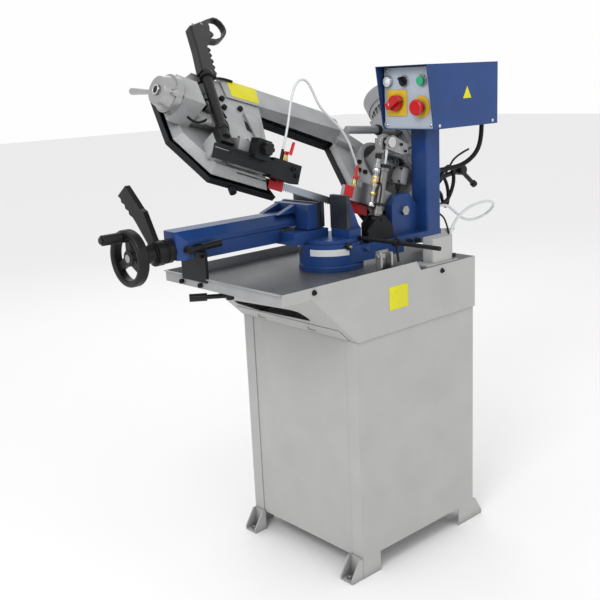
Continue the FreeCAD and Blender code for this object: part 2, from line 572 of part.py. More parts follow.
# ---------------------------------------------------------------- control box
SHELL = 2.0
shell_pts = [(BOX_X0, BOX_Z0), (BOX_X1, BOX_Z0), (BOX_X1, BOX_Z1), (BOX_X0 - VISOR, BOX_Z1)]
case = prism_xz(shell_pts, BOX_Y0, BOX_Y1)
PANEL_X = BOX_X0 + 4
room = box(BOX_X0 - VISOR - 5, BOX_X1 - SHELL, BOX_Y0 + SHELL, BOX_Y1 - SHELL, BOX_Z0 + SHELL,
           BOX_Z1 - SHELL)
BEVEL_Y, BEVEL_Z = BOX_Y1 + 1, BOX_Z0 - 1       # the rear lower edge is bevelled clear of the motor
bevel = prism_yz([(BEVEL_Y - 10, BEVEL_Z), (BEVEL_Y, BEVEL_Z), (BEVEL_Y, BEVEL_Z + 10)], BOX_X0 - 40,
                 BOX_X1 + 1)
inner_bevel = prism_yz([(BEVEL_Y - 14, BEVEL_Z), (BEVEL_Y, BEVEL_Z), (BEVEL_Y, BEVEL_Z + 14)], BOX_X0 - 40,
                       BOX_X1 + 1)
room = room.cut(inner_bevel)
export("control_box", cut(case, [room, bevel]))
panel = box(PANEL_X, PANEL_X + 3, BOX_Y0 + SHELL, BOX_Y1 - SHELL, BOX_Z0 + SHELL, BOX_Z1 - SHELL)
STEM = 6.0
CONTROLS = {"lamp": (7, 1249), "selector": (-50, 1249), "start": (-113, 1249), "main": (-24, 1192),
            "estop": (-109, 1181)}
holes = [cyl(V(PANEL_X - 1, y, z), X, STEM + 0.05, 6) for y, z in CONTROLS.values()]


def control(name, shape):
    y, z = CONTROLS[name]
    shape.translate(V(PANEL_X, y, z))
    return shape


bezel = ring(V(0, 0, 0), X * -1, 15, STEM + 0.05, 3)
bezels = [control(n, bezel.copy()) for n in ("lamp", "selector", "start")]
export("control_panel", join([cut(panel, holes + [inner_bevel])] + bezels))
lamp = control("lamp", join([cyl(V(3, 0, 0), X * -1, STEM, 6), cyl(V(-3, 0, 0), X * -1, 13, 5),
                             Part.makeSphere(16, V(4, 0, 0)).common(box(-13, -8, -13, 13, -13, 13))]))
export("signal_lamp", lamp)
dial = join([cyl(V(3, 0, 0), X * -1, STEM, 7), cyl(V(-3.4, 0, 0), X * -1, 12.5, 5),
             box(-17, -8, -3.5, 3.5, -12, 12)])
dial.rotate(V(0, 0, 0), X, -40)
export("selector_knob", control("selector", dial))
button = join([cyl(V(5, 0, 0), X * -1, STEM, 13), cyl(V(-7, 0, 0), X * -1, 12, 5)])
export("start_button", control("start", button))
handle = join([cyl(V(5, 0, 0), X * -1, STEM, 9), cyl(V(-3.4, 0, 0), X * -1, 21, 12),
               prism([V(-12, -9, 20), V(-12, 9, 20), V(-12, 7, -30), V(-12, -7, -30)], V(-16, 0, 0))])
handle.rotate(V(0, 0, 0), X, -118)
export("main_switch_knob", control("main", handle))
mushroom = cyl(V(-17, 0, 0), X * -1, 21, 12)
mushroom = mushroom.makeFillet(5, [e for e in mushroom.Edges if e.BoundBox.XMax < -28])
export("estop_button", control("estop", join([cyl(V(5, 0, 0), X * -1, STEM, 8),
                                              cyl(V(-3, 0, 0), X * -1, 12, 15),
                                              mushroom])))

# ---------------------------------------------------------------- bow casting
BACK, WALL, FRONT = -4.0, 12.5, 17.0     # rear edge, inside and outside of the casting's front wall
RAISED, ARM_FRONT = 46.0, 50.0
IDLER, DRIVE = V(IDLER_X, WHEEL_R, 0), V(DRIVE_X, WHEEL_R, 0)
SHAFT_R = 12.0


def level(points, z):
    return polygon([V(x, y, z) for x, y in points])


idler_rear = [(-480, 58), (-400, -26), (-226, -26), (-176, 140), (-160, 240), (-170, 282), (-398, 276),
              (-480, 196)]
idler_front = [(-464, 66), (-392, -8), (-240, -8), (-196, 132), (-174, 228), (-180, 268), (-391, 262),
               (-464, 188)]
idler_shell = Part.makeLoft([level(idler_rear, BACK), level(idler_front, FRONT)], True, True)
raised_pts = [(-466, 192), (-390, 272), (-258, 280), (-186, 230), (-206, 140), (-226, 60), (-352, 40),
              (-360, 112), (-428, 104), (-460, 130)]
raised_pad = prism_xy(raised_pts, FRONT - 1, RAISED)
window = prism_xy([(-424, 132), (-424, 196), (-392, 232), (-348, 232), (-348, 150), (-372, 126)], WALL - 1,
                  RAISED + 1)
handle_pad = box(-416, -376, 0, 44, FRONT - 1, 58)
hub_block = box(-500, -440, 92, 168, FRONT - 1, 92)


def arm_section(x, low_front, low_rear, top):
    corners = [(low_front, ARM_FRONT), (low_rear, ARM_REAR), (top - 4, ARM_REAR), (top, ARM_FRONT)]
    return polygon([V(x, y, z) for y, z in corners])


ARM_REAR = WALL + 0.5
arm = Part.makeLoft([arm_section(-300, 219, 244, 292), arm_section(80, 258, 246, 321),
                     arm_section(139, 264, 246, 308)], True, True)

drive_pts = [(126, 27), (150, -24), (DRIVE_X, -24), (DRIVE_X, 278), (230, 312), (139, 312), (126, 250)]
drive_plate = prism_xy(drive_pts, BACK, FRONT)
drive_disc = cone(V(DRIVE_X, WHEEL_R, BACK), Z, 150, 146, FRONT - BACK)
dish_rim = ring(V(DRIVE_X, WHEEL_R, FRONT), Z, 146, 134, 30)
elbow = prism_xy([(132, 240), (132, 306), (200, 300), (190, 232)], FRONT - 1, 34)

casting = to_bow(join([idler_shell, raised_pad, handle_pad, hub_block, arm, drive_plate, drive_disc,
                       dish_rim, elbow]))
hollows = [cyl(V(w.x, w.y, BACK - 1), Z, WHEEL_R + 6, WALL - BACK + 1) for w in (IDLER, DRIVE)]
hollows += [box(x0, x1, y0, y1, BACK - 1, WALL) for x0, x1, y0, y1 in
            ((IDLER_X, -150, -13, 14), (IDLER_X, -150, 240, 266), (100, DRIVE_X, -13, 14),
             (100, DRIVE_X, 240, 266))]
hollow = to_bow(join(hollows))
guide_support = to_guide(box(-360, -262, -46, -12, 12, 75)).cut(to_bow(box(-480, -200, -40, 300, BACK,
                                                                           FRONT - 1)))

# Hinge lug: its flat underside stays clear of the blade's lower run.
lug_pts = [(150, 13.6), (254, 13.6), (260, 27), (254, 42), (236, 54), (200, 66), (150, 70)]
lug = to_guide(prism_xz(lug_pts, -29, 7))
lug_bore = cyl(V(HINGE_X, -62, HINGE_Z), Y, PIN_R + 0.05, 60)
shafts = [to_bow(cyl(V(w.x, w.y, -16), Z, SHAFT_R, FRONT + 15)) for w in (IDLER, DRIVE)]

bow = cut(join([casting, lug, guide_support]), [hollow, to_bow(window)])
head_room = box(60, 500, -400, ARM_FACE + 5, 600, 1060)
motor_relief = to_bow(cyl(V(MOTOR_X, 180, MOTOR_Z), Y, MOTOR_R + 5, 290))
bow = cut(join([bow] + shafts), [lug_bore, head_room, motor_relief])
export("bow_frame", bow)

# ---------------------------------------------------------------- rear blade cover
COVER_R = 156.0
cover_pts = [(-494, 52), (-407, -41), (-204, -41), (-222, 0), (-172, 132), (-152, 243), (121, 243),
             (121, 24), (146, -29)]
cover_pts += arc_points(DRIVE_X, WHEEL_R, COVER_R, -90, 90, 24)
cover_pts += [(230, 316), (80, 320), (-300, 296), (-405, 288), (-494, 200)]
COVER_Z0, COVER_Z1 = -18.5, BACK - 0.1
cover_face = Part.Face(level(cover_pts, COVER_Z0))
inner_face = cover_face.makeOffset2D(-3)
cover = cover_face.extrude(V(0, 0, COVER_Z1 - COVER_Z0)).cut(inner_face.extrude(V(0, 0,
                                                                                  40)).translated(V(0, 0,
                                                                                                    2.5)))
arm_wall = box(-148, 118, 243, 246, COVER_Z1 - 1, 2)
blade_slots = [to_guide(box(x0, x1, -3.5, 3.5, -14, 14)) for x0, x1 in ((-300, -190), (95, 175))]
latches = [cyl(V(x, -43, -14), V(0, -1, 0), 9, 14) for x in (-338, 190)]
latch_posts = [cyl(V(x, -27, -14), V(0, -1, 0), 4, 17) for x in (-338, 190)]
arm_clearance = box(20, 262, -80, ARM_FACE + 2, 700, 960)
export("rear_cover", cut(to_bow(join([cover, arm_wall] + latches + latch_posts)),
                         blade_slots + [arm_clearance]))


# ---------------------------------------------------------------- blade wheels
def blade_wheel(centre):
    half = WHEEL_W / 2
    disc = cyl(V(centre.x, centre.y, -half), Z, WHEEL_R, WHEEL_W)
    disc = disc.cut(ring(V(centre.x, centre.y, -half), Z, WHEEL_R - 14, 30, 8))
    disc = disc.cut(ring(V(centre.x, centre.y, half - 6), Z, WHEEL_R - 14, 30, 8))
    holes = []
    for i in range(5):
        t = math.radians(72 * i)
        holes.append(cyl(V(centre.x + 70 * math.cos(t), centre.y + 70 * math.sin(t), -half), Z, 20,
                         WHEEL_W))
    bore = cyl(V(centre.x, centre.y, -half), Z, SHAFT_R + 0.05, WHEEL_W)
    return to_bow(cut(disc, holes + [bore]))


export("idler_wheel", blade_wheel(IDLER))
export("drive_wheel", blade_wheel(DRIVE))

# ---------------------------------------------------------------- saw blade
GUIDED_X0, GUIDED_X1 = -210.0, 112.0
TOOTH, PITCH = 3.0, 8.0
R_IN = WHEEL_R + RUN_GAP
LOW_Y, HIGH_Y = -(RUN_GAP + BLADE_T / 2), 2 * WHEEL_R + RUN_GAP + BLADE_T / 2


def blade_section(x, y, angle):
    """Blade cross-section at one place: angle 0 lies on the wheel rim, 45 stands upright."""
    t = math.radians(angle)
    wide = V(0, math.sin(t), math.cos(t))
    thin = V(0, math.cos(t), -math.sin(t))
    mid = V(x, y, 0)
    pts = [mid + wide * (BLADE_W / 2 * i) + thin * (BLADE_T / 2 * j) for i,
           j in ((-1, -1), (1, -1), (1, 1), (-1, 1))]
    return polygon(pts)


def twist(x0, x1, a0, a1, steps=6):
    wires = []
    for i in range(steps + 1):
        k = i / steps
        wires.append(blade_section(x0 + (x1 - x0) * k, LOW_Y * abs(a0 - 45 + (a1 - a0) * k) / 45,
                                   a0 + (a1 - a0) * k))
    return Part.makeLoft(wires, True, True)


def half_loop(centre, side):
    loop = ring(V(centre.x, centre.y, -BLADE_W / 2), Z, R_IN + BLADE_T, R_IN, BLADE_W)
    reach = 2 * R_IN
    x0, x1 = (centre.x - reach, centre.x) if side < 0 else (centre.x, centre.x + reach)
    return loop.common(box(x0, x1, centre.y - reach, centre.y + reach, -BLADE_W, BLADE_W))


def toothed_run():
    """Upright part of the blade: flat back on top, raked teeth along the lower edge."""
    top, root = BLADE_W / 2, -BLADE_W / 2 + TOOTH
    points = [(GUIDED_X0, top), (GUIDED_X0, -BLADE_W / 2)]
    count = int((GUIDED_X1 - GUIDED_X0) // PITCH)
    start = GUIDED_X0 + ((GUIDED_X1 - GUIDED_X0) - count * PITCH) / 2
    for i in range(count):
        x = start + i * PITCH
        points += [(x, -BLADE_W / 2), (x + 1, root), (x + PITCH * 0.5, root)]
    points += [(GUIDED_X1, -BLADE_W / 2), (GUIDED_X1, top)]
    return prism([V(x, -BLADE_T / 2, z) for x, z in points], V(0, BLADE_T, 0))


upper_run = box(IDLER_X, DRIVE_X, HIGH_Y - BLADE_T / 2, HIGH_Y + BLADE_T / 2, -BLADE_W / 2, BLADE_W / 2)
band = [half_loop(IDLER, -1), half_loop(DRIVE, 1), upper_run,
        twist(IDLER_X, GUIDED_X0, 0, 45), twist(GUIDED_X1, DRIVE_X, 45, 0)]
export("saw_blade", to_bow(band[0].fuse(band[1:])).fuse(to_guide(toothed_run())))


# ---------------------------------------------------------------- gearbox and motor
GEAR_Z1 = 115.0
gear_drum = cyl(V(DRIVE_X, WHEEL_R, FRONT), Z, 45, GEAR_Z1 - FRONT)
gear_cap = cyl(V(DRIVE_X, WHEEL_R, GEAR_Z1), Z, 30, 5)
gear_side = box(192, DRIVE_X, 100, 172, 48, 108)
worm_case = box(DRIVE_X, MOTOR_X + 34, 96, 176, 52, 134)
worm_cap = cyl(V(MOTOR_X, 88, MOTOR_Z), Y, 28, 10)
flange = cyl(V(MOTOR_X, 174, MOTOR_Z), Y, 56, 14)
# Two cheeks on the gearbox side that take the cylinder's rod.
cheek_world = [(53, 1080), (60, 1108), (82, 1112), (136, 1085), (136, 1052), (86, 1068)]
rod_cheeks = [prism_xz(cheek_world, CYL_Y + s * 9.6 - 2.6, CYL_Y + s * 9.6 + 2.6) for s in (-1, 1)]
EYE_CLEARANCE = 7.0
cheek_holes = cyl(ROD_EYE + V(0, -20, 0), Y, 4 + EYE_CLEARANCE, 40)
cheek_web = prism_xz([(100, 1063), (100, 1102), (136, 1085), (136, 1052)], CYL_Y - 12, 14)
gear_fins = [box(200 + 16 * i, 206 + 16 * i, 106, 166, 104, 113) for i in range(5)]
gear = to_bow(join([gear_drum, gear_cap, gear_side, worm_case, worm_cap, flange] + gear_fins))
web_foot = prism_xz([(118, 1060), (118, 1092), (170, 1068), (170, 1040)], -26, 16)
gear = join([gear, cheek_web, web_foot] + rod_cheeks)
export("gearbox", cut(gear, [cheek_holes, box(60, 262, -400, ARM_FACE + 5, 600, 1060)]))

motor_body = cyl(V(MOTOR_X, 188, MOTOR_Z), Y, MOTOR_R - 6, 210)
fins = []
for i in range(24):
    fin = box(-1.5, 1.5, 206, 388, MOTOR_R - 7, MOTOR_R)
    fin.rotate(V(0, 0, 0), Y, 15 * i)
    fins.append(fin.translated(V(MOTOR_X, 0, MOTOR_Z)))
end_bells = [cyl(V(MOTOR_X, y, MOTOR_Z), Y, MOTOR_R, 16) for y in (188, 384)]
cowl = cyl(V(MOTOR_X, 400, MOTOR_Z), Y, MOTOR_R + 3, 52)
cowl = cowl.makeFillet(10, [e for e in cowl.Edges if e.BoundBox.YMin > 450])
terminal_box = box(MOTOR_X - 95, MOTOR_X - 50, 250, 330, MOTOR_Z - 30, MOTOR_Z + 30)
export("drive_motor", to_bow(join([motor_body] + fins + end_bells + [cowl, terminal_box])))

# ---------------------------------------------------------------- tension hub
HUB_Y, HUB_Z = 130.0, 60.0
TENSION_X = -500.5
hub_axis = V(-1, 0, 0)
hub_base = cyl(V(TENSION_X, HUB_Y, HUB_Z), hub_axis, 44, 18)
hub_body = cone(V(TENSION_X - 18, HUB_Y, HUB_Z), hub_axis, 40, 32, 26)
hub_nut = cyl(V(TENSION_X - 44, HUB_Y, HUB_Z), hub_axis, 11, 4)
BAR_X = TENSION_X - 24
tommy = V(0, 0.733, -0.68).normalize()
bar_root = V(BAR_X, HUB_Y, HUB_Z)
bars = [cone(bar_root + tommy * 34, tommy, 5, 8.5, 100), ball(bar_root + tommy * 134, 8.5),
        cyl(bar_root - tommy * 54, tommy, 8, 20)]
export("tension_hub", to_bow(join([hub_base, hub_body, hub_nut] + bars)))

# ---------------------------------------------------------------- blade guides
GUIDE_SLOT = BLADE_T / 2 + 0.3


def guide_legs(x0, x1):
    legs = [box(x0, x1, y0, y1, -6, 16) for y0, y1 in ((-9, -GUIDE_SLOT), (GUIDE_SLOT, 9))]
    return legs


bar = box(-431, -172, -62, -46.1, 12, 46)
long_block = box(-262, -172, -62, -30, 8, 54)
left_block = box(-208, -172, -62, 10, 12, 52)
bar_slot = box(-420, -330, -62.5, -60.5, 30, 40)
tap_left_seat = cyl(V(-216, -44, 50), Z, 6, 20)
left_barb = cyl(V(-227, -44, 50), Z, 3.5, 32)
left_shapes = [left_barb, bar, long_block, left_block, tap_left_seat] + guide_legs(-205, -175)
export("guide_bar", to_guide(cut(join(left_shapes), [bar_slot])))

clamp_front = box(-330, -288, -74, -62.1, 37, 84)
clamp_top = box(-330, -288, -74, -46.1, 46.1, 84)
STAR = V(-304, -74, 64)
clamp = cut(join([clamp_front, clamp_top]), [cyl(STAR + V(0, -1, 0), Y, 4.05, 30)])
export("guide_clamp", to_guide(clamp))
star = cyl(STAR + V(0, -2, 0), Y * -1, 15, 14)
notches = []
for i in range(6):
    t = math.radians(60 * i + 30)
    notches.append(cyl(STAR + V(17 * math.cos(t), -1, 17 * math.sin(t)), Y * -1, 4.5, 18))
star = cut(star, notches).fuse(cyl(STAR + V(0, 20, 0), Y * -1, 4, 24))
export("guide_knob", to_guide(star.removeSplitter()))

right_block = box(46, 80, -30, 10, 14, 54)
right_pad = box(80, 140, -28, 14, 16, 70)
tap_right_seat = cyl(V(56, -22, 52), Z, 6, 20)
right_barb = cyl(V(67, -22, 52), Z, 3.5, 30)
right_guide = to_guide(join([right_block, right_pad, tap_right_seat, right_barb] + guide_legs(48, 78)))
export("right_guide", right_guide.cut(bow).Solids[0])

GUARD = 1.6
red_left = to_guide(join([box(-240, -178, -15, -15 + GUARD, -15, 6),
                          box(-204, -178, -15, -9, 6 - GUARD, 12)]))
red_left = red_left.cut(to_bow(box(-500, -225, -60, 300, -30, FRONT + 0.4)))
export("guard_left", max(red_left.Solids, key=lambda part: part.Volume))
red_upper = box(18, 50, -32.1, -30, 20, 50)
red_lower = prism_xz([(58, 14), (132, 14), (140, -12), (84, -14), (58, -6)], -12.6, -11)
red_tab = box(58, 80, -12.6, -9, 9, 13.9)
export("guard_right", to_guide(group([red_upper, join([red_lower, red_tab])])))

# ---------------------------------------------------------------- coolant taps
for name, seat in (("tap_left", V(-216, -44, 70)), ("tap_right", V(56, -22, 72))):
    spindle = cyl(seat, Z, 3, 9)
    crown = cyl(seat + V(0, 0, 1), Z, 6.5, 7)
    lever = box(seat.x - 4, seat.x + 4, seat.y - 13, seat.y, seat.z + 2, seat.z + 8)
    side = 1 if name == "tap_left" else -1
    wing = prism_xz([(seat.x, seat.z + 4), (seat.x + side * 10, seat.z + 2),
                     (seat.x + side * 13, seat.z + 34),
                     (seat.x + side * 8, seat.z + 34), (seat.x + side * 5, seat.z + 9)], seat.y - 13,
                     seat.y - 7)
    export(name, to_guide(join([spindle, crown, lever, wing])))

# ---------------------------------------------------------------- feed handle and trigger
foot_block = box(-414, -378, 3, 41, 58.1, 76)
stem = rod(V(-396, 22, 70.7), V(-370, 250, 70.7), 12.5)
grip_pts = [(-392, 244), (-376, 337), (-366, 424), (-300, 480), (-290, 456), (-306, 402), (-333, 357),
            (-346, 240)]
grip_body = prism_xy(grip_pts, 57, 83)
grip_body = rounded(grip_body, 5, lambda e: abs(e.tangentAt(e.FirstParameter).z) < 0.01 and e.Length > 40)
ring_outer = [(-302, 480), (-275, 503), (-255, 519), (-240, 523), (-228, 516), (-222, 501), (-222, 484),
              (-229, 466), (-243, 445), (-260, 425), (-280, 409), (-310, 397)]
ring_inner = [(-306, 469), (-278, 494), (-257, 511), (-242, 515), (-233, 509), (-229, 498), (-229, 485),
              (-235, 470), (-248, 450), (-264, 431), (-284, 416), (-314, 406)]
guard_ring = prism_xy(ring_outer, 62, 78).cut(prism_xy(ring_inner, 60, 80))
socket = box(-308, -280, 428, 458, 66, 74)
grip_all = join([foot_block, stem, grip_body, guard_ring])
export("feed_handle", to_bow(cut(grip_all, [socket])))
TRIGGER_GAP = 0.4
trigger = join([box(-301, -286, 430, 456, 66 + TRIGGER_GAP, 74 - TRIGGER_GAP),
                cyl(V(-286, 443, 66 + TRIGGER_GAP), Z, 9, 8 - 2 * TRIGGER_GAP)])
export("trigger", to_bow(trigger))

# ---------------------------------------------------------------- swivel lock lever and coolant pump
LEVER_PIVOT = V(-392, 60, 750)
LEVER_TIP = V(-470, 118, 750)
lock = join([rod(LEVER_PIVOT, LEVER_TIP, 6), cyl(LEVER_PIVOT + V(0, 0, -10), Z, 10, 37.7)])
knob_dir = (LEVER_TIP - LEVER_PIVOT).normalize()
export("swivel_lock_lever", join([lock, cyl(LEVER_TIP - knob_dir * 40, knob_dir, 10, 44)]))

PUMP = V(108, -192, TRAY_FLOOR)
pump_plate = box(PUMP.x - 70, PUMP.x + 56, PUMP.y - 26, PUMP.y + 26, TRAY_FLOOR, TRAY_FLOOR + 5)
pump_body = box(PUMP.x - 38, PUMP.x + 42, PUMP.y - 22, PUMP.y + 18, TRAY_FLOOR + 5, 850)
pump_body = rounded(pump_body, 6, lambda e: along(e, Z))
pump_spout = cyl(V(PUMP.x + 42, PUMP.y + 2, 800), X, 7, 16)
pump_elbow = cyl(V(PUMP.x + 58, PUMP.y + 2, 793), Z, 6, 21)
export("coolant_pump", join([pump_plate, pump_body, pump_spout, pump_elbow]))

# ---------------------------------------------------------------- hoses and conduit
LOOP_HOSE = [(-281.3, -44, 1109), (-271, -44, 1138), (-260, -43, 1172), (-251, -40, 1201),
             (-241, -38, 1230),
             (-228, -37, 1255), (-205, -35, 1269), (-184, -34, 1261), (-168, -33, 1238), (-146, -32, 1198),
             (-112, -33, 1170), (-76, -34, 1141), (-48, -33, 1105), (-30, -30, 1070), (-13, -25, 1043),
             (-5.3, -22, 1014)]
SUPPLY_HOSE = [(166, -190, 814), (166, -190, 838), (178, -189, 866), (210, -187, 892), (254, -185, 907),
               (302, -183, 914), (350, -178, 913), (392, -167, 902), (417, -147, 884), (419, -121, 862),
               (390, -102, 848), (353, -92, 852), (326, -80, 878), (298, -72, 902), (263, -72, 902)]
CONDUIT = [(408, -112, 1122), (408, -112, 1084), (396, -105, 1040), (362, -84, 1008), (312, -62, 1000),
           (271, -62, 1000)]
export("loop_hose", routed_tube("loop_hose", LOOP_HOSE, 6.0))
export("supply_hose", routed_tube("supply_hose", SUPPLY_HOSE, 8.0))
export("conduit", routed_tube("conduit", CONDUIT, 13.0))
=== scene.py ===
import math

import bmesh
import bpy
from mathutils import Matrix, Vector


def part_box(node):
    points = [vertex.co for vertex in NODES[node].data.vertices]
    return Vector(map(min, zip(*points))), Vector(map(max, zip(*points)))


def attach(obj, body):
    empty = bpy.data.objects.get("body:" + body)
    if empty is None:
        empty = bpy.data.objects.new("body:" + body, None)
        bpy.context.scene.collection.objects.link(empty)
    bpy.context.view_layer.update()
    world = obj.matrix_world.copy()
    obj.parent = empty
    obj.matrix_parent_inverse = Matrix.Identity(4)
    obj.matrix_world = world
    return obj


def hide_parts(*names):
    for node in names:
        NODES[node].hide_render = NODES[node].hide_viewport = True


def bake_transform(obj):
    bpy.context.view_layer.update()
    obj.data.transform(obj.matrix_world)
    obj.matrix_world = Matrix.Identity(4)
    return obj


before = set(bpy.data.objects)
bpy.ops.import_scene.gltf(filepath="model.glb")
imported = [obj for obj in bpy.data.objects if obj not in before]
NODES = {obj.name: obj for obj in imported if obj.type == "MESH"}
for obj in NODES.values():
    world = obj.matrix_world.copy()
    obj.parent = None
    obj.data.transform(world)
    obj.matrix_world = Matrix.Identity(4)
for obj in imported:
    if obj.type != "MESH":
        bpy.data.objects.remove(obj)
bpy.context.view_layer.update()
MM = 0.001

# ---------------------------------------------------------------- camera
CAMERA_PLACE = Vector((-1.70734, -1.69037, 1.27217))
CAMERA_YAW, CAMERA_PITCH, CAMERA_ROLL = 48.502, -13.960, -2.6815
CAMERA_LENS = 53.736


def make_camera():
    """Camera looking down on the operator's end, from the outfeed side."""
    yaw, pitch, roll = (math.radians(a) for a in (CAMERA_YAW, CAMERA_PITCH, CAMERA_ROLL))
    ahead = Vector((math.cos(pitch) * math.cos(yaw), math.cos(pitch) * math.sin(yaw), math.sin(pitch)))
    right = ahead.cross(Vector((0, 0, 1))).normalized()
    up = right.cross(ahead)
    side = right * math.cos(roll) + up * math.sin(roll)
    top = up * math.cos(roll) - right * math.sin(roll)
    data = bpy.data.cameras.new("camera")
    data.lens = CAMERA_LENS
    data.sensor_width = 36.0
    data.clip_end = 50.0
    camera = bpy.data.objects.new("camera", data)
    turn = Matrix((side, top, -ahead)).transposed()
    camera.matrix_world = Matrix.Translation(CAMERA_PLACE) @ turn.to_4x4()
    bpy.context.collection.objects.link(camera)
    bpy.context.scene.camera = camera


make_camera()

# ---------------------------------------------------------------- the bow's own frame
BOW_TILT = math.radians(19.0)
BOW_LEAN = math.radians(45.0)
SWIVEL_BLADE = Vector((-0.095, 0.0, 0.955))


def bow_frame_matrix(lean):
    """x along the blade, y up the wheel plane, z out of its front."""
    turn = Matrix.Rotation(BOW_TILT, 4, "Y") @ Matrix.Rotation(math.pi / 2 - lean, 4, "X")
    return Matrix.Translation(SWIVEL_BLADE) @ turn


WORLD = Matrix.Identity(4)
BOW = bow_frame_matrix(BOW_LEAN)
GUIDE = bow_frame_matrix(math.pi / 2)


# ---------------------------------------------------------------- materials
def link_mix(nodes, links, factor, first, second):
    mix = nodes.new("ShaderNodeMix")
    mix.data_type = "RGBA"
    for socket, value in ((mix.inputs[0], factor), (mix.inputs[6], first), (mix.inputs[7], second)):
        if isinstance(value, bpy.types.NodeSocket):
            links.new(value, socket)
        else:
            socket.default_value = value
    return mix.outputs[2]


def noise(nodes, links, vector, scale, detail=3.0):
    texture = nodes.new("ShaderNodeTexNoise")
    texture.inputs["Scale"].default_value = scale
    texture.inputs["Detail"].default_value = detail
    links.new(vector, texture.inputs["Vector"])
    return texture.outputs["Fac"]


def ranged(nodes, links, value, low, high, to_low, to_high):
    node = nodes.new("ShaderNodeMapRange")
    for socket, number in zip(node.inputs[1:5], (low, high, to_low, to_high)):
        socket.default_value = number
    links.new(value, node.inputs[0])
    return node.outputs[0]


def tone(colour, factor):
    return tuple(min(1.0, c * factor) for c in colour[:3]) + (1.0,)


def surface(name, colour, rough, metal=0.0, grain=900.0, bump=0.05, mottle=0.10, wear=None, wear_amount=0.5,
            stretch=(1, 1, 1), coat=0.0, edge=0.8, transmission=0.0, ior=1.5, grime=0.15, gloss=0.5):
    """Painted, cast, moulded or machined surface: mottled colour, fine grain in the bump, painted shade in
    creases and recesses.
    """
    material = bpy.data.materials.new(name)
    material.use_nodes = True
    nodes, links = material.node_tree.nodes, material.node_tree.links
    shader = nodes["Principled BSDF"]
    place = nodes.new("ShaderNodeTexCoord").outputs["Object"]
    mapping = nodes.new("ShaderNodeMapping")
    mapping.inputs["Scale"].default_value = stretch
    links.new(place, mapping.inputs["Vector"])
    grained = mapping.outputs["Vector"]
    broad = noise(nodes, links, place, 11.0, 5.0)
    fine = noise(nodes, links, grained, grain, 2.0)
    shade = link_mix(nodes, links, ranged(nodes, links, broad, 0.3, 0.7, 0, 1),
                     tone(colour, 1 - mottle), tone(colour, 1 + mottle))
    shade = link_mix(nodes, links, ranged(nodes, links, fine, 0.35, 0.75, 0, grime), shade,
                     tone(colour, 0.55))
    # Painted shade: ambient occlusion darkens the colour towards 0.42 of itself in creases, recesses and
    # between parts.
    crease_shade = nodes.new("ShaderNodeAmbientOcclusion")
    crease_shade.samples = 6
    crease_shade.inputs["Distance"].default_value = 35 * MM
    shade = link_mix(nodes, links, ranged(nodes, links, crease_shade.outputs["AO"], 0.15, 0.85, 0, 1),
                     tone(colour, 0.42), shade)
    bevel = nodes.new("ShaderNodeBevel")
    bevel.samples = 4
    bevel.inputs["Radius"].default_value = edge * MM
    if wear:
        geometry = nodes.new("ShaderNodeNewGeometry")
        dot = nodes.new("ShaderNodeVectorMath")
        dot.operation = "DOT_PRODUCT"
        links.new(bevel.outputs[0], dot.inputs[0])
        links.new(geometry.outputs["Normal"], dot.inputs[1])
        rim = ranged(nodes, links, dot.outputs["Value"], 0.80, 0.995, 1, 0)
        patch = ranged(nodes, links, noise(nodes, links, place, 60.0, 6.0), 0.45, 0.62, 0, wear_amount)
        both = nodes.new("ShaderNodeMath")
        both.operation = "MULTIPLY"
        links.new(rim, both.inputs[0])
        links.new(patch, both.inputs[1])
        shade = link_mix(nodes, links, both.outputs[0], shade, tone(wear, 1))
    links.new(shade, shader.inputs["Base Color"])
    links.new(ranged(nodes, links, fine, 0.2, 0.8, max(0.03, rough - 0.07), min(1, rough + 0.10)),
              shader.inputs["Roughness"])
    shader.inputs["Metallic"].default_value = metal
    shader.inputs["IOR"].default_value = ior
    shader.inputs["Specular IOR Level"].default_value = gloss
    shader.inputs["Coat Weight"].default_value = coat
    shader.inputs["Coat Roughness"].default_value = 0.12
    shader.inputs["Transmission Weight"].default_value = transmission
    relief = nodes.new("ShaderNodeBump")
    relief.inputs["Strength"].default_value = bump
    relief.inputs["Distance"].default_value = 0.4 * MM
    links.new(fine, relief.inputs["Height"])
    links.new(bevel.outputs[0], relief.inputs["Normal"])
    links.new(relief.outputs[0], shader.inputs["Normal"])
    material.diffuse_color = tone(colour, 1)
    return material


def paint_tray_floor_shade(material, height, colour):
    """Wet, dark sheet on the tray's floor, darkened partly for its own tone and partly as painted shade;
    its folded rim and walls stay light.
    """
    nodes, links = material.node_tree.nodes, material.node_tree.links
    shader = nodes["Principled BSDF"]
    shade = shader.inputs["Base Color"].links[0].from_socket
    place = nodes.new("ShaderNodeTexCoord")
    split = nodes.new("ShaderNodeSeparateXYZ")
    links.new(place.outputs["Object"], split.inputs[0])
    upward = nodes.new("ShaderNodeSeparateXYZ")
    links.new(nodes.new("ShaderNodeNewGeometry").outputs["Normal"], upward.inputs[0])
    # Mask of upward faces below the given height: the tray floor that gets the painted shade.
    both = nodes.new("ShaderNodeMath")
    both.operation = "MULTIPLY"
    links.new(ranged(nodes, links, split.outputs["Z"], height, height + 0.004, 1, 0), both.inputs[0])
    links.new(ranged(nodes, links, upward.outputs["Z"], 0.3, 0.8, 0, 1), both.inputs[1])
    stain = noise(nodes, links, place.outputs["Object"], 5.0, 4.0)
    # Dark floor colour with random stains: partly the sheet's own wet tone, partly painted shade.
    dark = link_mix(nodes, links, ranged(nodes, links, stain, 0.35, 0.65, 0, 1), tone(colour, 0.7),
                    tone(colour, 1.5))
    links.new(link_mix(nodes, links, both.outputs[0], shade, dark), shader.inputs["Base Color"])


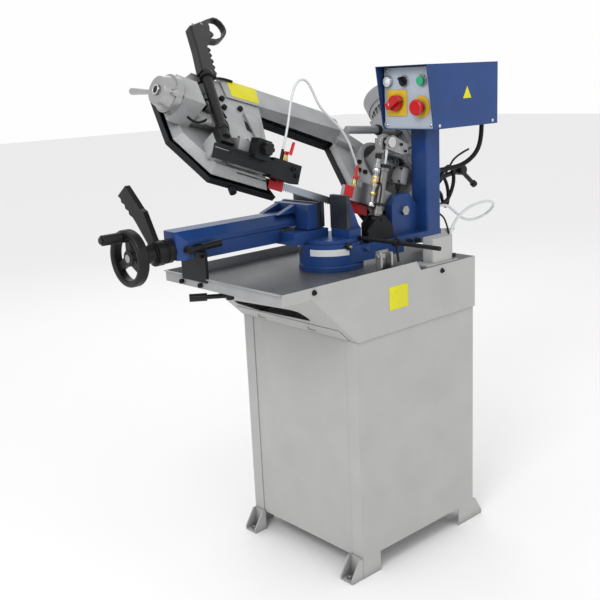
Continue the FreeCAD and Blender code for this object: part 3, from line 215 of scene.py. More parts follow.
STEEL_WEAR = (0.35, 0.36, 0.38)
LOOKS = {
    "blue": surface("blue_enamel", (0.011, 0.052, 0.205), 0.42, grain=420, bump=0.30, mottle=0.14,
                    wear=(0.06, 0.14, 0.34), coat=0.10, edge=1.6, gloss=0.35, grime=0.25),
    "grey": surface("grey_enamel", (0.43, 0.43, 0.425), 0.50, grain=750, bump=0.16, mottle=0.04,
                    wear=(0.6, 0.6, 0.6), grime=0.06, edge=1.2, gloss=0.3),
    "tray": surface("tray_metal", (0.40, 0.405, 0.41), 0.42, metal=0.25, grain=260, bump=0.16, mottle=0.10,
                    stretch=(1, 6, 1), grime=0.35, gloss=0.3),
    "casting": surface("cast_grey", (0.41, 0.415, 0.42), 0.44, metal=0.25, grain=330, bump=0.34,
                       mottle=0.14,
                       wear=(0.62, 0.63, 0.65), edge=2.4, grime=0.25, gloss=0.4),
    "alloy": surface("rough_alloy", (0.36, 0.36, 0.36), 0.42, metal=0.6, grain=210, bump=0.45, mottle=0.3,
                     wear=(0.65, 0.65, 0.65), edge=2.0, grime=0.5),
    "turned": surface("turned_alloy", (0.44, 0.44, 0.44), 0.30, metal=0.85, grain=420, bump=0.06,
                      mottle=0.14,
                      wear=(0.7, 0.7, 0.7), edge=1.6, grime=0.3),
    "steel": surface("machined_steel", (0.40, 0.41, 0.42), 0.32, metal=0.9, grain=500, bump=0.12,
                     mottle=0.16,
                     stretch=(1, 1, 14), grime=0.4),
    "tube": surface("ground_tube", (0.27, 0.27, 0.26), 0.34, metal=0.9, grain=380, bump=0.10, mottle=0.25,
                    stretch=(6, 6, 1), grime=0.5),
    "blade": surface("band_steel", (0.36, 0.40, 0.44), 0.30, metal=0.95, grain=300, bump=0.06, mottle=0.14,
                     stretch=(1, 1, 9), grime=0.25, edge=0.2),
    "chrome": surface("chrome", (0.66, 0.67, 0.68), 0.12, metal=1.0, grain=1200, bump=0.02, mottle=0.05,
                      grime=0.1),
    "jaw": surface("jaw_steel", (0.060, 0.068, 0.080), 0.40, metal=0.6, grain=180, bump=0.20, mottle=0.6,
                   wear=STEEL_WEAR, edge=1.0, grime=0.5),
    "blackened": surface("blackened_steel", (0.013, 0.014, 0.016), 0.42, metal=0.2, grain=600, bump=0.14,
                         mottle=0.3,
                         wear=(0.07, 0.07, 0.08), edge=1.0, gloss=0.25),
    "black": surface("black_plastic", (0.008, 0.008, 0.009), 0.42, grain=1400, bump=0.14, mottle=0.2,
                     wear=(0.035, 0.035, 0.037), edge=1.0, gloss=0.3),
    "rubber": surface("rubber_black", (0.008, 0.008, 0.009), 0.55, grain=800, bump=0.18, mottle=0.2,
                      gloss=0.25),
    "red": surface("red_gloss", (0.58, 0.006, 0.010), 0.26, grain=900, bump=0.04, mottle=0.06, coat=0.35,
                   grime=0.05),
    "guard": surface("guard_red", (0.56, 0.008, 0.012), 0.38, grain=500, bump=0.10, mottle=0.12, coat=0.1,
                     wear=(0.65, 0.2, 0.16), edge=0.6, gloss=0.3),
    "green": surface("green_gloss", (0.008, 0.42, 0.19), 0.28, grain=900, bump=0.03, mottle=0.05, coat=0.3,
                     grime=0.03),
    "white": surface("white_lens", (0.78, 0.80, 0.83), 0.22, grain=900, bump=0.02, mottle=0.03, coat=0.4,
                     grime=0.02),
    "panel": surface("panel_sheet", (0.52, 0.59, 0.68), 0.42, metal=0.2, grain=600, bump=0.06, mottle=0.04,
                     grime=0.05, gloss=0.3),
    "yellow": surface("yellow_plate", (0.80, 0.52, 0.020), 0.42, grain=800, bump=0.04, mottle=0.05,
                      grime=0.06),
    "label": surface("label_yellow", (0.74, 0.69, 0.018), 0.50, grain=500, bump=0.05, mottle=0.08,
                     grime=0.25,
                     gloss=0.3),
    "paper": surface("scale_white", (0.72, 0.73, 0.73), 0.45, grain=600, bump=0.03, mottle=0.03,
                     grime=0.08),
    "brass": surface("brass", (0.62, 0.44, 0.16), 0.26, metal=1.0, grain=400, bump=0.08, mottle=0.15),
    "hose": surface("clear_vinyl", (0.60, 0.63, 0.64), 0.22, grain=160, bump=0.03, mottle=0.05, coat=0.6,
                    grime=0.0,
                    edge=0.2),
    "motor": surface("motor_grey", (0.33, 0.335, 0.34), 0.46, metal=0.35, grain=300, bump=0.30, mottle=0.14,
                     wear=(0.6, 0.6, 0.6), edge=1.5, gloss=0.4),
    # Painted shade: near-black surface for the flat discs and strips put where holes, slots and gaps hold
    # only shade.
    "dark": surface("recess_shade_black", (0.02, 0.02, 0.022), 0.6, grain=300, bump=0.2, mottle=0.3, gloss=0.2),
}
TRAY_FLOOR_Z = 0.786
# Near-black tray floor: partly the sheet's own wet tone, partly painted shade.
paint_tray_floor_shade(LOOKS["tray"], TRAY_FLOOR_Z, (0.085, 0.09, 0.097))

NODE_LOOKS = {
    "blue": ("base_ring", "vise_bed", "vise_rail", "vise_beam", "swivel_arm", "control_box"),
    "grey": ("stand_sides", "stand_ends", "foot_brackets", "skirt_panels", "chute_panel", "coolant_pump"),
    "tray": ("chip_tray",),
    "casting": ("bow_frame",),
    "alloy": ("gearbox",),
    "turned": ("tension_hub",),
    "steel": ("right_guide", "vise_screw", "hinge_pin", "feed_valve"),
    "tube": ("lowering_cylinder",),
    "blade": ("saw_blade",),
    "chrome": ("piston_rod",),
    "jaw": ("fixed_jaw_plates", "moving_jaw_plate"),
    "blackened": ("rail_bracket", "frame_screws", "cylinder_clevis", "rear_cover", "guide_bar",
                  "guide_clamp",
                  "stop_rod", "stop_collar", "screw_boss"),
    "black": ("swivel_lock_lever", "clamp_lever", "slide_lock_handle", "handwheel", "crank_grip",
              "selector_knob",
              "valve_knob", "feed_handle", "trigger", "guide_knob"),
    "red": ("main_switch_knob", "estop_button", "tap_left", "tap_right"),
    "guard": ("guard_left", "guard_right"),
    "green": ("start_button",),
    "white": ("signal_lamp",),
    "panel": ("control_panel",),
    "paper": ("angle_scale",),
    "motor": ("drive_motor", "drive_wheel", "idler_wheel"),
}


def dress_nodes():
    for look, names in NODE_LOOKS.items():
        for name in names:
            node = NODES[name]
            node.data.materials.clear()
            node.data.materials.append(LOOKS[look])


dress_nodes()

# ---------------------------------------------------------------- hoses and conduit
LOOP_HOSE = [(-281.3, -44, 1109), (-271, -44, 1138), (-260, -43, 1172), (-251, -40, 1201),
             (-241, -38, 1230),
             (-228, -37, 1255), (-205, -35, 1269), (-184, -34, 1261), (-168, -33, 1238), (-146, -32, 1198),
             (-112, -33, 1170), (-76, -34, 1141), (-48, -33, 1105), (-30, -30, 1070), (-13, -25, 1043),
             (-5.3, -22, 1014)]
SUPPLY_HOSE = [(166, -190, 814), (166, -190, 838), (178, -189, 866), (210, -187, 892), (254, -185, 907),
               (302, -183, 914), (350, -178, 913), (392, -167, 902), (417, -147, 884), (419, -121, 862),
               (390, -102, 848), (353, -92, 852), (326, -80, 878), (298, -72, 902), (263, -72, 902)]
CONDUIT = [(408, -112, 1122), (408, -112, 1084), (396, -105, 1040), (362, -84, 1008), (312, -62, 1000),
           (271, -62, 1000)]


def route_curve(name, points, diameter):
    """Smooth NURBS line with the route's points as its control points."""
    data = bpy.data.curves.new(name, "CURVE")
    data.dimensions = "3D"
    data.resolution_u = 12
    spline = data.splines.new("NURBS")
    spline.points.add(len(points) - 1)
    for control, point in zip(spline.points, points):
        control.co = (*(c * MM for c in point), 1.0)
    spline.order_u = 3
    spline.use_endpoint_u = True
    data.bevel_depth = diameter * MM / 2
    data.bevel_resolution = 6
    data.use_fill_caps = True
    return bpy.data.objects.new(name, data)


def line_points(points):
    """Points along the smooth line, read from the spline itself."""
    bare = route_curve("bare", points, 0)
    bpy.context.collection.objects.link(bare)
    bpy.context.view_layer.update()
    mesh = bpy.data.meshes.new_from_object(bare)
    found = [tuple(v.co) for v in mesh.vertices]
    bpy.data.objects.remove(bare)
    return found


def hose(name, points, diameter, look, node):
    """Hose as a mesh tube along a smooth line, in place of the hidden model node."""
    curve = route_curve(name + "_line", points, diameter)
    bpy.context.collection.objects.link(curve)
    bpy.context.view_layer.update()
    mesh = bpy.data.meshes.new_from_object(curve)
    bpy.data.objects.remove(curve)
    mesh.name = name
    mesh.shade_smooth()
    mesh.materials.clear()
    mesh.materials.append(LOOKS[look])
    tube = bpy.data.objects.new(name, mesh)
    bpy.context.collection.objects.link(tube)
    line = line_points(points)
    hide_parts(node)
    return tube


loop = hose("clear_loop_hose", LOOP_HOSE, 6.0, "hose", "loop_hose")
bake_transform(loop)
supply = hose("clear_supply_hose", SUPPLY_HOSE, 8.0, "hose", "supply_hose")
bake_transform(supply)
conduit = hose("black_conduit", CONDUIT, 13.0, "rubber", "conduit")
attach(conduit, "head")


# ---------------------------------------------------------------- mesh building
class Piece:
    """A detail piece built from closed shapes, in millimetres in its own frame."""

    def __init__(self, name, look, body, place=WORLD, slot=None):
        self.mesh = bmesh.new()
        self.name, self.look, self.body, self.place, self.slot = name, look, body, place, slot

    def _edged(self, verts, bevel, segments=2):
        if bevel > 0:
            edges = {e for v in verts for e in v.link_edges}
            sharp = [e for e in edges if len(e.link_faces) == 2 and e.calc_face_angle(0) > 0.5]
            bmesh.ops.bevel(self.mesh, geom=sharp, offset=bevel, segments=segments, profile=0.5,
                            affect="EDGES",
                            clamp_overlap=True)

    def box(self, low, high, bevel=0.6, turn=None):
        low, high = Vector(low), Vector(high)
        size = Matrix.Diagonal((*(high - low), 1))
        place = Matrix.Translation((low + high) / 2) @ (turn or WORLD) @ size
        made = bmesh.ops.create_cube(self.mesh, size=1.0, matrix=place)
        self._edged(made["verts"], bevel)
        return self

    def rod(self, start, end, radius, bevel=0.5, sides=40, radius_end=None):
        start, end = Vector(start), Vector(end)
        axis = end - start
        place = Matrix.Translation((start + end) / 2) @ axis.to_track_quat("Z", "Y").to_matrix().to_4x4()
        made = bmesh.ops.create_cone(self.mesh, cap_ends=True, segments=sides, radius1=radius,
                                     radius2=radius if radius_end is None else radius_end,
                                     depth=axis.length,
                                     matrix=place)
        self._edged(made["verts"], bevel)
        return self

    def disc_profile(self, start, axis, profile, sides=64):
        """Turned piece: (distance along axis, radius) pairs, closed at both ends."""
        place = Matrix.Translation(Vector(start)) @ Vector(axis).to_track_quat("Z",
                                                                               "Y").to_matrix().to_4x4()
        rings = []
        for along, radius in profile:
            ring = [self.mesh.verts.new(place @ Vector((radius * math.cos(t), radius * math.sin(t), along)))
                    for t in (2 * math.pi * i / sides for i in range(sides))]
            rings.append(ring)
        for low, high in zip(rings, rings[1:]):
            for i in range(sides):
                j = (i + 1) % sides
                self.mesh.faces.new((low[i], low[j], high[j], high[i]))
        self.mesh.faces.new(list(reversed(rings[0])))
        self.mesh.faces.new(rings[-1])
        return self

    def prism(self, outline, vector, bevel=0.5):
        vector = Vector(vector)
        base = [self.mesh.verts.new(Vector(p)) for p in outline]
        top = [self.mesh.verts.new(Vector(p) + vector) for p in outline]
        count = len(outline)
        faces = [self.mesh.faces.new(list(reversed(base))), self.mesh.faces.new(top)]
        for i in range(count):
            j = (i + 1) % count
            faces.append(self.mesh.faces.new((base[i], base[j], top[j], top[i])))
        bmesh.ops.recalc_face_normals(self.mesh, faces=faces)
        self._edged(base + top, bevel)
        return self

    def hexagon(self, base, axis, flats, height, bevel=0.6):
        axis = Vector(axis).normalized()
        start = Vector(base)
        return self.rod(start, start + axis * height, flats / math.sqrt(3), bevel, sides=6)

    def cap_screw(self, base, axis, size):
        """Socket cap screw head with its hexagon recess."""
        head, depth, key = size * 0.78, size * 0.5, size * 0.46
        return self.disc_profile(base, axis, [(0, head), (size * 0.85, head), (size, head * 0.9),
                                              (size, key),
                                              (size - depth, key * 0.98)], sides=36)

    def tube(self, points, radius, sides=14, smooth=6):
        """Bent bar or wire through the points, along a smooth line."""
        curve = bpy.data.curves.new("wire", "CURVE")
        curve.dimensions = "3D"
        curve.resolution_u = smooth
        spline = curve.splines.new("NURBS")
        spline.points.add(len(points) - 1)
        for control, point in zip(spline.points, points):
            control.co = (*point, 1.0)
        spline.order_u = 3
        spline.use_endpoint_u = True
        curve.bevel_depth = radius
        curve.bevel_resolution = max(2, sides // 4)
        curve.use_fill_caps = True
        carrier = bpy.data.objects.new("wire", curve)
        bpy.context.collection.objects.link(carrier)
        bpy.context.view_layer.update()
        data = bpy.data.meshes.new_from_object(carrier)
        self.mesh.from_mesh(data)
        bpy.data.objects.remove(carrier)
        return self

    def done(self):
        self.mesh.transform(Matrix.Scale(MM, 4))
        place = self.place.copy()
        self.mesh.transform(place)
        data = bpy.data.meshes.new(self.name)
        self.mesh.to_mesh(data)
        self.mesh.free()
        data.shade_smooth()
        data.set_sharp_from_angle(angle=math.radians(32))
        data.materials.append(LOOKS[self.look])
        piece = bpy.data.objects.new(self.name, data)
        bpy.context.collection.objects.link(piece)
        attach(piece, self.body)
        return piece


def low(node):
    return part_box(node)[0] / MM


def high(node):
    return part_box(node)[1] / MM


# ---------------------------------------------------------------- control box details
PANEL_X = low("control_panel").x + 3      # front face of the panel, behind its bezels
BOX_LOW, BOX_HIGH = low("control_box"), high("control_box")
SWITCH_Y, SWITCH_Z = -24.0, 1192.0
STOP_Y, STOP_Z = -109.0, 1181.0
LAMPS_Z = 1249.0


def rounded_square(x, y, z, half, corner, steps=6):
    points = []
    for sy, sz, start in ((1, 1, 0), (-1, 1, 90), (-1, -1, 180), (1, -1, 270)):
        for i in range(steps + 1):
            t = math.radians(start + 90 * i / steps)
            points.append((x, y + sy * (half - corner) + corner * math.cos(t),
                           z + sz * (half - corner) + corner * math.sin(t)))
    return points


def ring_profile(inner, outer, height, edge=0.6):
    return [(0, inner), (0, outer), (height - edge, outer), (height, outer - edge), (height, inner + edge),
            (height - edge, inner)]


def turned_ring(piece, start, axis, inner, outer, height, edge=0.6, sides=72):
    """Closed ring: the profile runs round and meets itself."""
    place = Matrix.Translation(Vector(start)) @ Vector(axis).to_track_quat("Z", "Y").to_matrix().to_4x4()
    rings = []
    for along, radius in ring_profile(inner, outer, height, edge):
        rings.append([piece.mesh.verts.new(place @ Vector((radius * math.cos(t), radius * math.sin(t),
                                                           along)))
                      for t in (2 * math.pi * i / sides for i in range(sides))])
    faces = []
    for k, first in enumerate(rings):
        second = rings[(k + 1) % len(rings)]
        for i in range(sides):
            j = (i + 1) % sides
            faces.append(piece.mesh.faces.new((first[i], first[j], second[j], second[i])))
    bmesh.ops.recalc_face_normals(piece.mesh, faces=faces)
    return piece


def control_details():
    plate = Piece("main_switch_plate", "yellow", "head")
    turned_ring(plate, (PANEL_X, SWITCH_Y, SWITCH_Z), (-1, 0, 0), 22.5, 27, 2.6)
    plate.prism(rounded_square(PANEL_X - 2.2, SWITCH_Y, SWITCH_Z, 35, 5), (2.2, 0, 0), 0.4)
    plate.done()
    collar = Piece("stop_backing_ring", "yellow", "head")
    turned_ring(collar, (PANEL_X, STOP_Y, STOP_Z), (-1, 0, 0), 13, 29, 2.0)
    collar.done()
    rims = Piece("bezel_rims", "chrome", "head")
    for y in (7, -50, -113):
        turned_ring(rims, (PANEL_X - 3, y, LAMPS_Z), (-1, 0, 0), 13.6, 15.6, 1.2, 0.4)
    rims.done()
    grip_mark = Piece("switch_pointer_mark", "white", "main_switch")
    grip_mark.box((PANEL_X - 28.6, SWITCH_Y + 6, SWITCH_Z - 6),
                  (PANEL_X - 28.0, SWITCH_Y + 8.4, SWITCH_Z + 1), 0.1)
    grip_mark.done()
    screws = Piece("control_box_screws", "chrome", "head")
    for y in (BOX_LOW.y + 12, BOX_HIGH.y - 14):
        for z in (BOX_LOW.z + 12, BOX_HIGH.z - 12):
            screws.disc_profile((PANEL_X, y, z), (-1, 0, 0), [(0, 4), (1.2, 3.8), (2.4, 2.6), (2.8, 1.2)],
                                24)
    for x in (172, 403):
        screws.disc_profile((x, BOX_LOW.y, BOX_LOW.z + 9), (0, -1, 0),
                            [(0, 5), (1.4, 4.6), (2.6, 3), (3.0, 1.2)], 24)
    screws.done()
    triangle = Piece("side_triangle_label", "label", "head")
    x, z, half = 289.0, 1210.0, 18.0
    triangle.prism([(x - half, BOX_LOW.y, z - 13), (x + half, BOX_LOW.y, z - 13), (x, BOX_LOW.y, z + 19)],
                   (0, -0.5, 0), 0.15)
    triangle.done()
    edging = Piece("box_door_seal", "black", "head")
    y0, y1, z0, z1 = BOX_LOW.y + 2.4, BOX_HIGH.y - 2.4, BOX_LOW.z + 2.4, BOX_HIGH.z - 2.4
    for a, b in (((y0, z1 - 3), (y1, z1)), ((y0, z0), (y0 + 3, z1)), ((y1 - 3, z0 + 16), (y1, z1))):
        edging.box((PANEL_X - 1.4, a[0], a[1]), (PANEL_X, b[0], b[1]), 0.4)
    edging.done()


control_details()


# ---------------------------------------------------------------- bow details
def bow_details():
    bolts = Piece("casting_bolts", "blackened", "bow", BOW)
    for x, y, z, size in ((-321, 205, 46, 9), (-326, 172, 46, 9), (-268, 190, 46, 9)):
        bolts.cap_screw((x, y, z - 0.2), (0, 0, 1), size)
    for x, y, z in ((172.6, 160.5, 40), (169.2, 138, 29.4), (169, 117.6, 43.5)):
        bolts.cap_screw((x, y, z), (-1, 0, 0), 8)
    bolts.done()
    label = Piece("arm_label", "label", "bow", BOW)
    label.prism([(-275, 292, 50.0), (-171, 303, 50.0), (-182, 241, 50.0), (-280, 231, 50.0)], (0, 0, 0.5),
                0.1)
    label.done()
    # Painted shade: flat dark discs stand in for the shade inside two holes in the casting.
    holes = Piece("casting_hole_shade", "dark", "bow", BOW)
    for x, y in ((-312.6, 78.4), (-284, 78.5)):
        holes.disc_profile((x, y, 45.9), (0, 0, 1), [(0, 4), (0.3, 4), (0.5, 3.4)], 24)
    holes.done()
    stay = Piece("guide_stay_plate", "casting", "bow", BOW)
    stay.prism([(-263, 176, 45.5), (-213, 169, 45.5), (-226, 138, 45.5), (-236, 104, 45.5),
                (-244, 92, 45.5),
                (-256, 92, 45.5)], (0, 0, 8), 1.5)
    stay.done()
    gap = Piece("stay_shadow_plate", "dark", "bow", BOW)
    gap.prism([(-268, 152, 45.8), (-256, 140, 45.8), (-250, 108, 45.8), (-272, 118, 45.8)], (0, 0, 1.2),
              0.3)
    gap.done()
    cable = Piece("limit_switch_cable", "rubber", "bow", BOW)
    cable.tube([(-462, 150, 60), (-446, 178, 62), (-381, 232, 56), (-331, 268, 54), (-292, 287, 55),
                (-258, 291, 53)],
               3.2)
    cable.tube([(-486, 60, 66), (-458, 62, 54), (-420, 86, 50), (-384, 117, 51), (-357, 129, 52),
                (-343, 110, 53),
                (-351, 74, 54), (-372, 44, 56)], 3.0)
    cable.tube([(-420, 150, 40), (-398, 168, 52), (-372, 176, 54), (-346, 158, 53), (-338, 128, 52)], 2.6)
    cable.done()
    switch = Piece("limit_switch", "black", "bow", BOW)
    switch.box((-428, 150, 18), (-384, 190, 52), 2.5)
    switch.rod((-406, 150, 40), (-406, 132, 40), 6, 1.0)
    switch.rod((-384, 170, 40), (-372, 170, 40), 5, 1.0)
    switch.done()
    block = Piece("slide_end_block", "casting", "bow", BOW)
    block.box((-404, 84, 44), (-352, 112, 58), 3)
    block.prism([(-436, 92, 30), (-404, 84, 46), (-404, 112, 46), (-436, 124, 30)], (0, 0, 9), 2)
    block.done()


def guide_details():
    """Slots and screws of the sliding blade guide, in the upright frame along the blade; the slot and hole
    are thin dark pieces of painted shade.
    """
    face = -62.0
    # Painted shade: a thin dark strip and disc stand in for the shade inside the slot and hole.
    slot_shade = Piece("guide_slot_painted_shade", "dark", "guide_slide", GUIDE)
    slot_shade.box((-436, face - 0.5, 30), (-400, face, 34), 1)
    slot_shade.disc_profile((-386.5, face, 30.3), (0, -1, 0), [(0, 4.5), (0.5, 4.2)], 30)
    slot_shade.done()
    edges = Piece("guide_bar_slot_rims", "steel", "guide_slide", GUIDE)
    edges.box((-438, face - 0.9, 34.4), (-398, face, 36), 0.4)
    edges.done()
    bolts = Piece("guide_block_bolts", "blackened", "guide_slide", GUIDE)
    for x, z in ((-198, 40), (-184, 27)):
        bolts.cap_screw((x, face + 0.1, z), (0, -1, 0), 7)
    bolts.done()


guide_details()


def handle_details():
    """Finger ridges, collar and hinge screws of the feed handle; dished face of the tension hub, with
    painted shade in its centre bore.
    """
    ridges = Piece("grip_ridges", "black", "bow", BOW)
    for x, y in ((-347, 256), (-343, 280), (-339, 304), (-336, 328), (-332, 350)):
        ridges.rod((x, y, 58.5), (x, y, 81.5), 7, 2)
    ridges.done()
    collar = Piece("stem_collar", "black", "bow", BOW)
    collar.rod((-372, 232, 70.7), (-370, 252, 70.7), 18, 2.5)
    collar.rod((-393, 46, 70.7), (-392, 62, 70.7), 15, 2)
    collar.done()
    screws = Piece("grip_screws", "steel", "bow", BOW)
    for x, y in ((-356, 430), (-322, 450)):
        screws.disc_profile((x, y, 82.8), (0, 0, 1), [(0, 4), (1, 4), (1.6, 3)], 24)
    screws.done()
    # Painted shade: a flat dark disc stands in for the shade inside the hub's centre bore.
    hub = Piece("hub_bore_shade", "dark", "tension_hub", BOW)
    hub.disc_profile((-548.2, 130, 60), (-1, 0, 0), [(0, 8), (0.6, 8), (0.9, 7)], 40)
    hub.done()
    rim = Piece("hub_step_ring", "chrome", "tension_hub", BOW)
    turned_ring(rim, (-547.5, 130, 60), (-1, 0, 0), 8.2, 12, 1.6, 0.5)
    rim.done()


bow_details()
handle_details()


def hose_fittings():
    """Brass tap bodies and ferrules under the red levers."""
    for name, body, x, y, z in (("left_tap_body", "guide_slide", -216, -44, 54),
                                ("right_tap_body", "bow", 56, -22, 52)):
        fitting = Piece(name, "brass", body, GUIDE)
        fitting.hexagon((x, y, z), (0, 0, 1), 15, 7)
        fitting.disc_profile((x, y, z + 7), (0, 0, 1), [(0, 7), (9, 7), (10, 6.2)], 36)
        fitting.done()


hose_fittings()


# ---------------------------------------------------------------- stand, tray and base details
def base_details():
    skirt_y = low("skirt_panels").y
    label = Piece("skirt_label", "label", "base")
    label.box((-113, skirt_y - 0.5, 697), (-43, skirt_y, 757), 0.15)
    label.done()
    screws = Piece("tray_screws", "blackened", "base")
    for x, z in ((92, 764), (-365, 793)):
        screws.disc_profile((x, skirt_y, z), (0, -1, 0), [(0, 7), (1.2, 7), (3, 4)], 30)
    screws.done()
    bolts = Piece("anchor_bolts", "steel", "base")
    for x in (-252, 252):
        for y in (-196, 196):
            bolts.disc_profile((x, y, 4), (0, 0, 1), [(0, 11), (2, 11), (2.2, 10.5)], 40)
            bolts.hexagon((x, y, 6), (0, 0, 1), 16, 7)
    bolts.done()


base_details()


def gearbox_details():
    """Limit box, bosses and bolts on the drive end, riding on the bow; the feed valve and cylinder collars
    ride on the cylinder.
    """
    box = Piece("lower_limit_box", "motor", "bow", GUIDE)
    box.box((222, -34, 98), (248.5, 5, 146), 5)
    box.done()
    fittings = Piece("limit_box_fittings", "blackened", "bow", GUIDE)
    fittings.rod((249, 0, 161), (234, 0, 161), 9, 1)
    fittings.rod((237, -14, 99), (237, -14, 84), 7, 1)
    for y, z in ((-28, 104), (-1, 104), (-28, 140), (-1, 140)):
        fittings.cap_screw((222.2, y, z), (-1, 0, 0), 4)
    fittings.done()
    centre = Piece("limit_stop_pin", "chrome", "bow", GUIDE)
    centre.rod((235, 0, 161), (231, 0, 161), 4, 0.6)
    centre.done()
    cable = Piece("limit_box_cable", "rubber", "bow", GUIDE)
    cable.tube([(237, -14, 86), (239, -17, 68), (256, -22, 57), (280, -24, 54), (300, -20, 54)], 3.2)
    cable.done()
    pipe = Piece("motor_stay_tube", "motor", "bow")
    pipe.rod((66, 88, 1125.5), (255, 88, 1112), 11, 1.5)
    pipe.done()
    collar = Piece("stay_tube_collar", "blackened", "bow")
    collar.rod((186, 88, 1117), (198, 88, 1116), 15, 2)
    collar.done()
    valve = Piece("feed_valve_brass", "brass", "cylinder")
    foot, along, across = Vector((18.0, -60, 897.0)), Vector((0.260063, 0, 0.965592)), Vector((-0.965592,
                                                                                               0, 0.260063))
    centre = foot + across * 27
    valve.hexagon(centre + along * 84, along, 17.5, 26)
    valve.hexagon(centre + along * 60, along, 15, 8)
    valve.done()
    nuts = Piece("feed_valve_nuts", "chrome", "cylinder")
    for start, flats, length in ((120, 17.5, 9), (134, 16, 6), (30, 15, 9)):
        nuts.hexagon(centre + along * start, along, flats, length)
    nuts.done()
    lever = Piece("feed_valve_lever", "blackened", "cylinder")
    lever.tube([centre + along * 92 + Vector((0, -8, 0)), centre + along * 96 + Vector((9, -14, 0)),
                centre + along * 70 + Vector((15, -17, 0)), centre + along * 30 + Vector((13, -17, 0))],
                2.2)
    lever.done()
    collars = Piece("cylinder_collars", "blackened", "cylinder")
    for start, length in ((136, 9), (36, 6)):
        turned_ring(collars, foot + along * start, along, 15.2, 19.5, length, 1)
    collars.done()
    cheek = Piece("cheek_bolts", "blackened", "bow")
    for x, z in ((109, 1086), (125, 1067)):
        cheek.cap_screw((x, -72.1, z), (0, -1, 0), 5)
    cheek.done()


gearbox_details()


def column_details():
    """Cable loops and the T-handle behind the column, and the fixings of the swivel arm."""
    loops = Piece("cable_loops", "rubber", "head")
    loops.tube([(262, -50, 976), (300, -48, 990), (334, -44, 962), (347, -42, 915), (335, -42, 884),
                (314, -45, 902),
                (300, -50, 940), (262, -52, 948)], 5.0)
    loops.tube([(262, -64, 962), (312, -56, 1006), (352, -50, 1004), (368, -46, 962), (352, -44, 922),
                (322, -50, 902), (262, -60, 896)], 5.5)
    loops.tube([(262, -40, 930), (318, -38, 962), (356, -36, 1000), (384, -38, 1030), (430, -50, 1046)],
               3.0)
    loops.tube([(248, -66, 889), (280, -70, 876), (300, -72, 846), (326, -61, 803)], 2.6)
    loops.done()
    handle = Piece("column_t_handle", "black", "head")
    handle.rod((262, -44, 968), (402, -40, 988), 7, 1)
    handle.rod((388, -40, 1000), (466, -40, 940), 6.5, 1)
    handle.disc_profile((400, -58, 988), (0, 1, 0), [(0, 12), (3, 15), (33, 15), (36, 12)], 40)
    handle.disc_profile((460, -40, 945), (0.79, 0, -0.61), [(0, 7), (3, 10), (13, 10), (16, 7)], 40)
    handle.done()
    bolts = Piece("arm_bolts", "blackened", "head")
    for x, y, z in ((116.5, -88.5, 825), (148.8, -89.3, 823)):
        bolts.cap_screw((x, y, z), (0, -1, 0), 9)
    bolts.disc_profile((-112, -78, 846), (-0.217, -0.976, 0), [(0, 9), (12, 9), (14, 7.5)], 36)
    bolts.done()
    plunger = Piece("index_plunger", "steel", "head")
    plunger.disc_profile((-115, -91.5, 846), (-0.217, -0.976, 0), [(0, 4), (7, 4), (8, 3)], 30)
    plunger.done()
    sheet = Piece("splash_sheet", "grey", "head")
    sheet.prism([(205, -62, 804), (247, -62, 836), (350, -62, 826), (322, -62, 799)], (0, 2, 0), 0.4)
    sheet.prism([(205, -62, 804), (322, -62, 799), (322, -20, 792), (205, -20, 797)], (0, 0, 2), 0.4)
    sheet.done()


column_details()


def tray_details():
    """Bright bracket in the tray, pump fittings and the hose clip."""
    bracket = Piece("tray_bracket", "turned", "base")
    bracket.box((-128, -197, 781), (-84, -193, 848), 1)
    bracket.box((-128, -212, 781), (-122, -194, 848), 1)
    bracket.box((-90, -212, 781), (-84, -194, 842), 1)
    bracket.done()
    screw = Piece("tray_bracket_screws", "steel", "base")
    screw.hexagon((-106, -197, 834), (0, -1, 0), 13, 6)
    screw.hexagon((-128, -203, 836), (-1, 0, 0), 12, 6)
    screw.done()
    pump = Piece("pump_fittings", "blackened", "base")
    pump.box((72, -212, 781), (150, -170, 789), 1.5)
    pump.rod((152, -214, 790), (152, -214, 800), 6, 1)
    pump.hexagon((166, -190, 786), (0, 0, 1), 20, 6)
    pump.done()
    clip = Piece("hose_clip", "chrome", "base")
    turned_ring(clip, (166, -190, 815), (0, 0, 1), 4.1, 7, 8)
    clip.done()


tray_details()


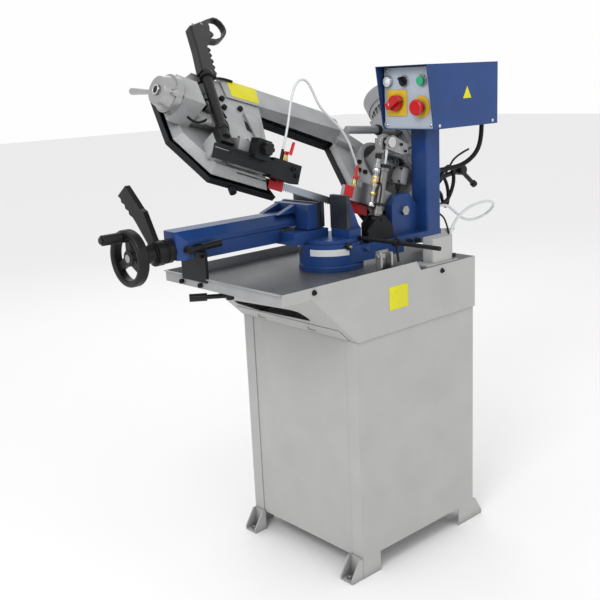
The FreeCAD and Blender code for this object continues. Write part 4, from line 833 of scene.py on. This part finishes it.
# ---------------------------------------------------------------- floor, light
FLOOR_SIZE, FLOOR_DROP = 40.0, 0.0005     # metres; the floor lies just below the feet
FLOOR_SHADE = 0.97
AMBIENT_STRENGTH, BACKDROP_STRENGTH = 0.86, 0.99


def stage_floor():
    bpy.ops.mesh.primitive_plane_add(size=FLOOR_SIZE, location=(0, 0, -FLOOR_DROP))
    floor = bpy.context.object
    floor.name = "floor"
    material = bpy.data.materials.new("floor_pale")
    material.use_nodes = True
    shader = material.node_tree.nodes["Principled BSDF"]
    shader.inputs["Base Color"].default_value = (FLOOR_SHADE, FLOOR_SHADE, FLOOR_SHADE, 1)
    shader.inputs["Roughness"].default_value = 0.9
    shader.inputs["Specular IOR Level"].default_value = 0.1
    floor.data.materials.append(material)


def area_light(name, place, target, size, power):
    data = bpy.data.lights.new(name, "AREA")
    data.shape = "RECTANGLE"
    data.size, data.size_y = size
    data.energy = power
    light = bpy.data.objects.new(name, data)
    light.location = place
    light.rotation_mode = "QUATERNION"
    light.rotation_quaternion = (Vector(target) - Vector(place)).to_track_quat("-Z", "Y")
    bpy.context.collection.objects.link(light)


def light_scene():
    """Soft studio light; the camera sees the surroundings as plain white."""
    world = bpy.data.worlds.new("studio")
    world.use_nodes = True
    tree = world.node_tree
    background = tree.nodes["Background"]
    background.inputs["Color"].default_value = (1, 1, 1, 1)
    rays = tree.nodes.new("ShaderNodeLightPath")
    strength = tree.nodes.new("ShaderNodeMapRange")
    strength.inputs["To Min"].default_value = AMBIENT_STRENGTH
    strength.inputs["To Max"].default_value = BACKDROP_STRENGTH
    tree.links.new(rays.outputs["Is Camera Ray"], strength.inputs["Value"])
    tree.links.new(strength.outputs["Result"], background.inputs["Strength"])
    bpy.context.scene.world = world
    middle = (0, 0, 0.9)
    area_light("key", (-2.6, -1.2, 3.0), middle, (1.2, 1.2), 38)
    area_light("front", (0.6, -3.4, 1.7), middle, (2.4, 2.0), 7)
    area_light("back", (1.6, 2.6, 2.6), middle, (2.0, 2.0), 12)
    bpy.context.scene.view_settings.view_transform = "Standard"


stage_floor()
light_scene()
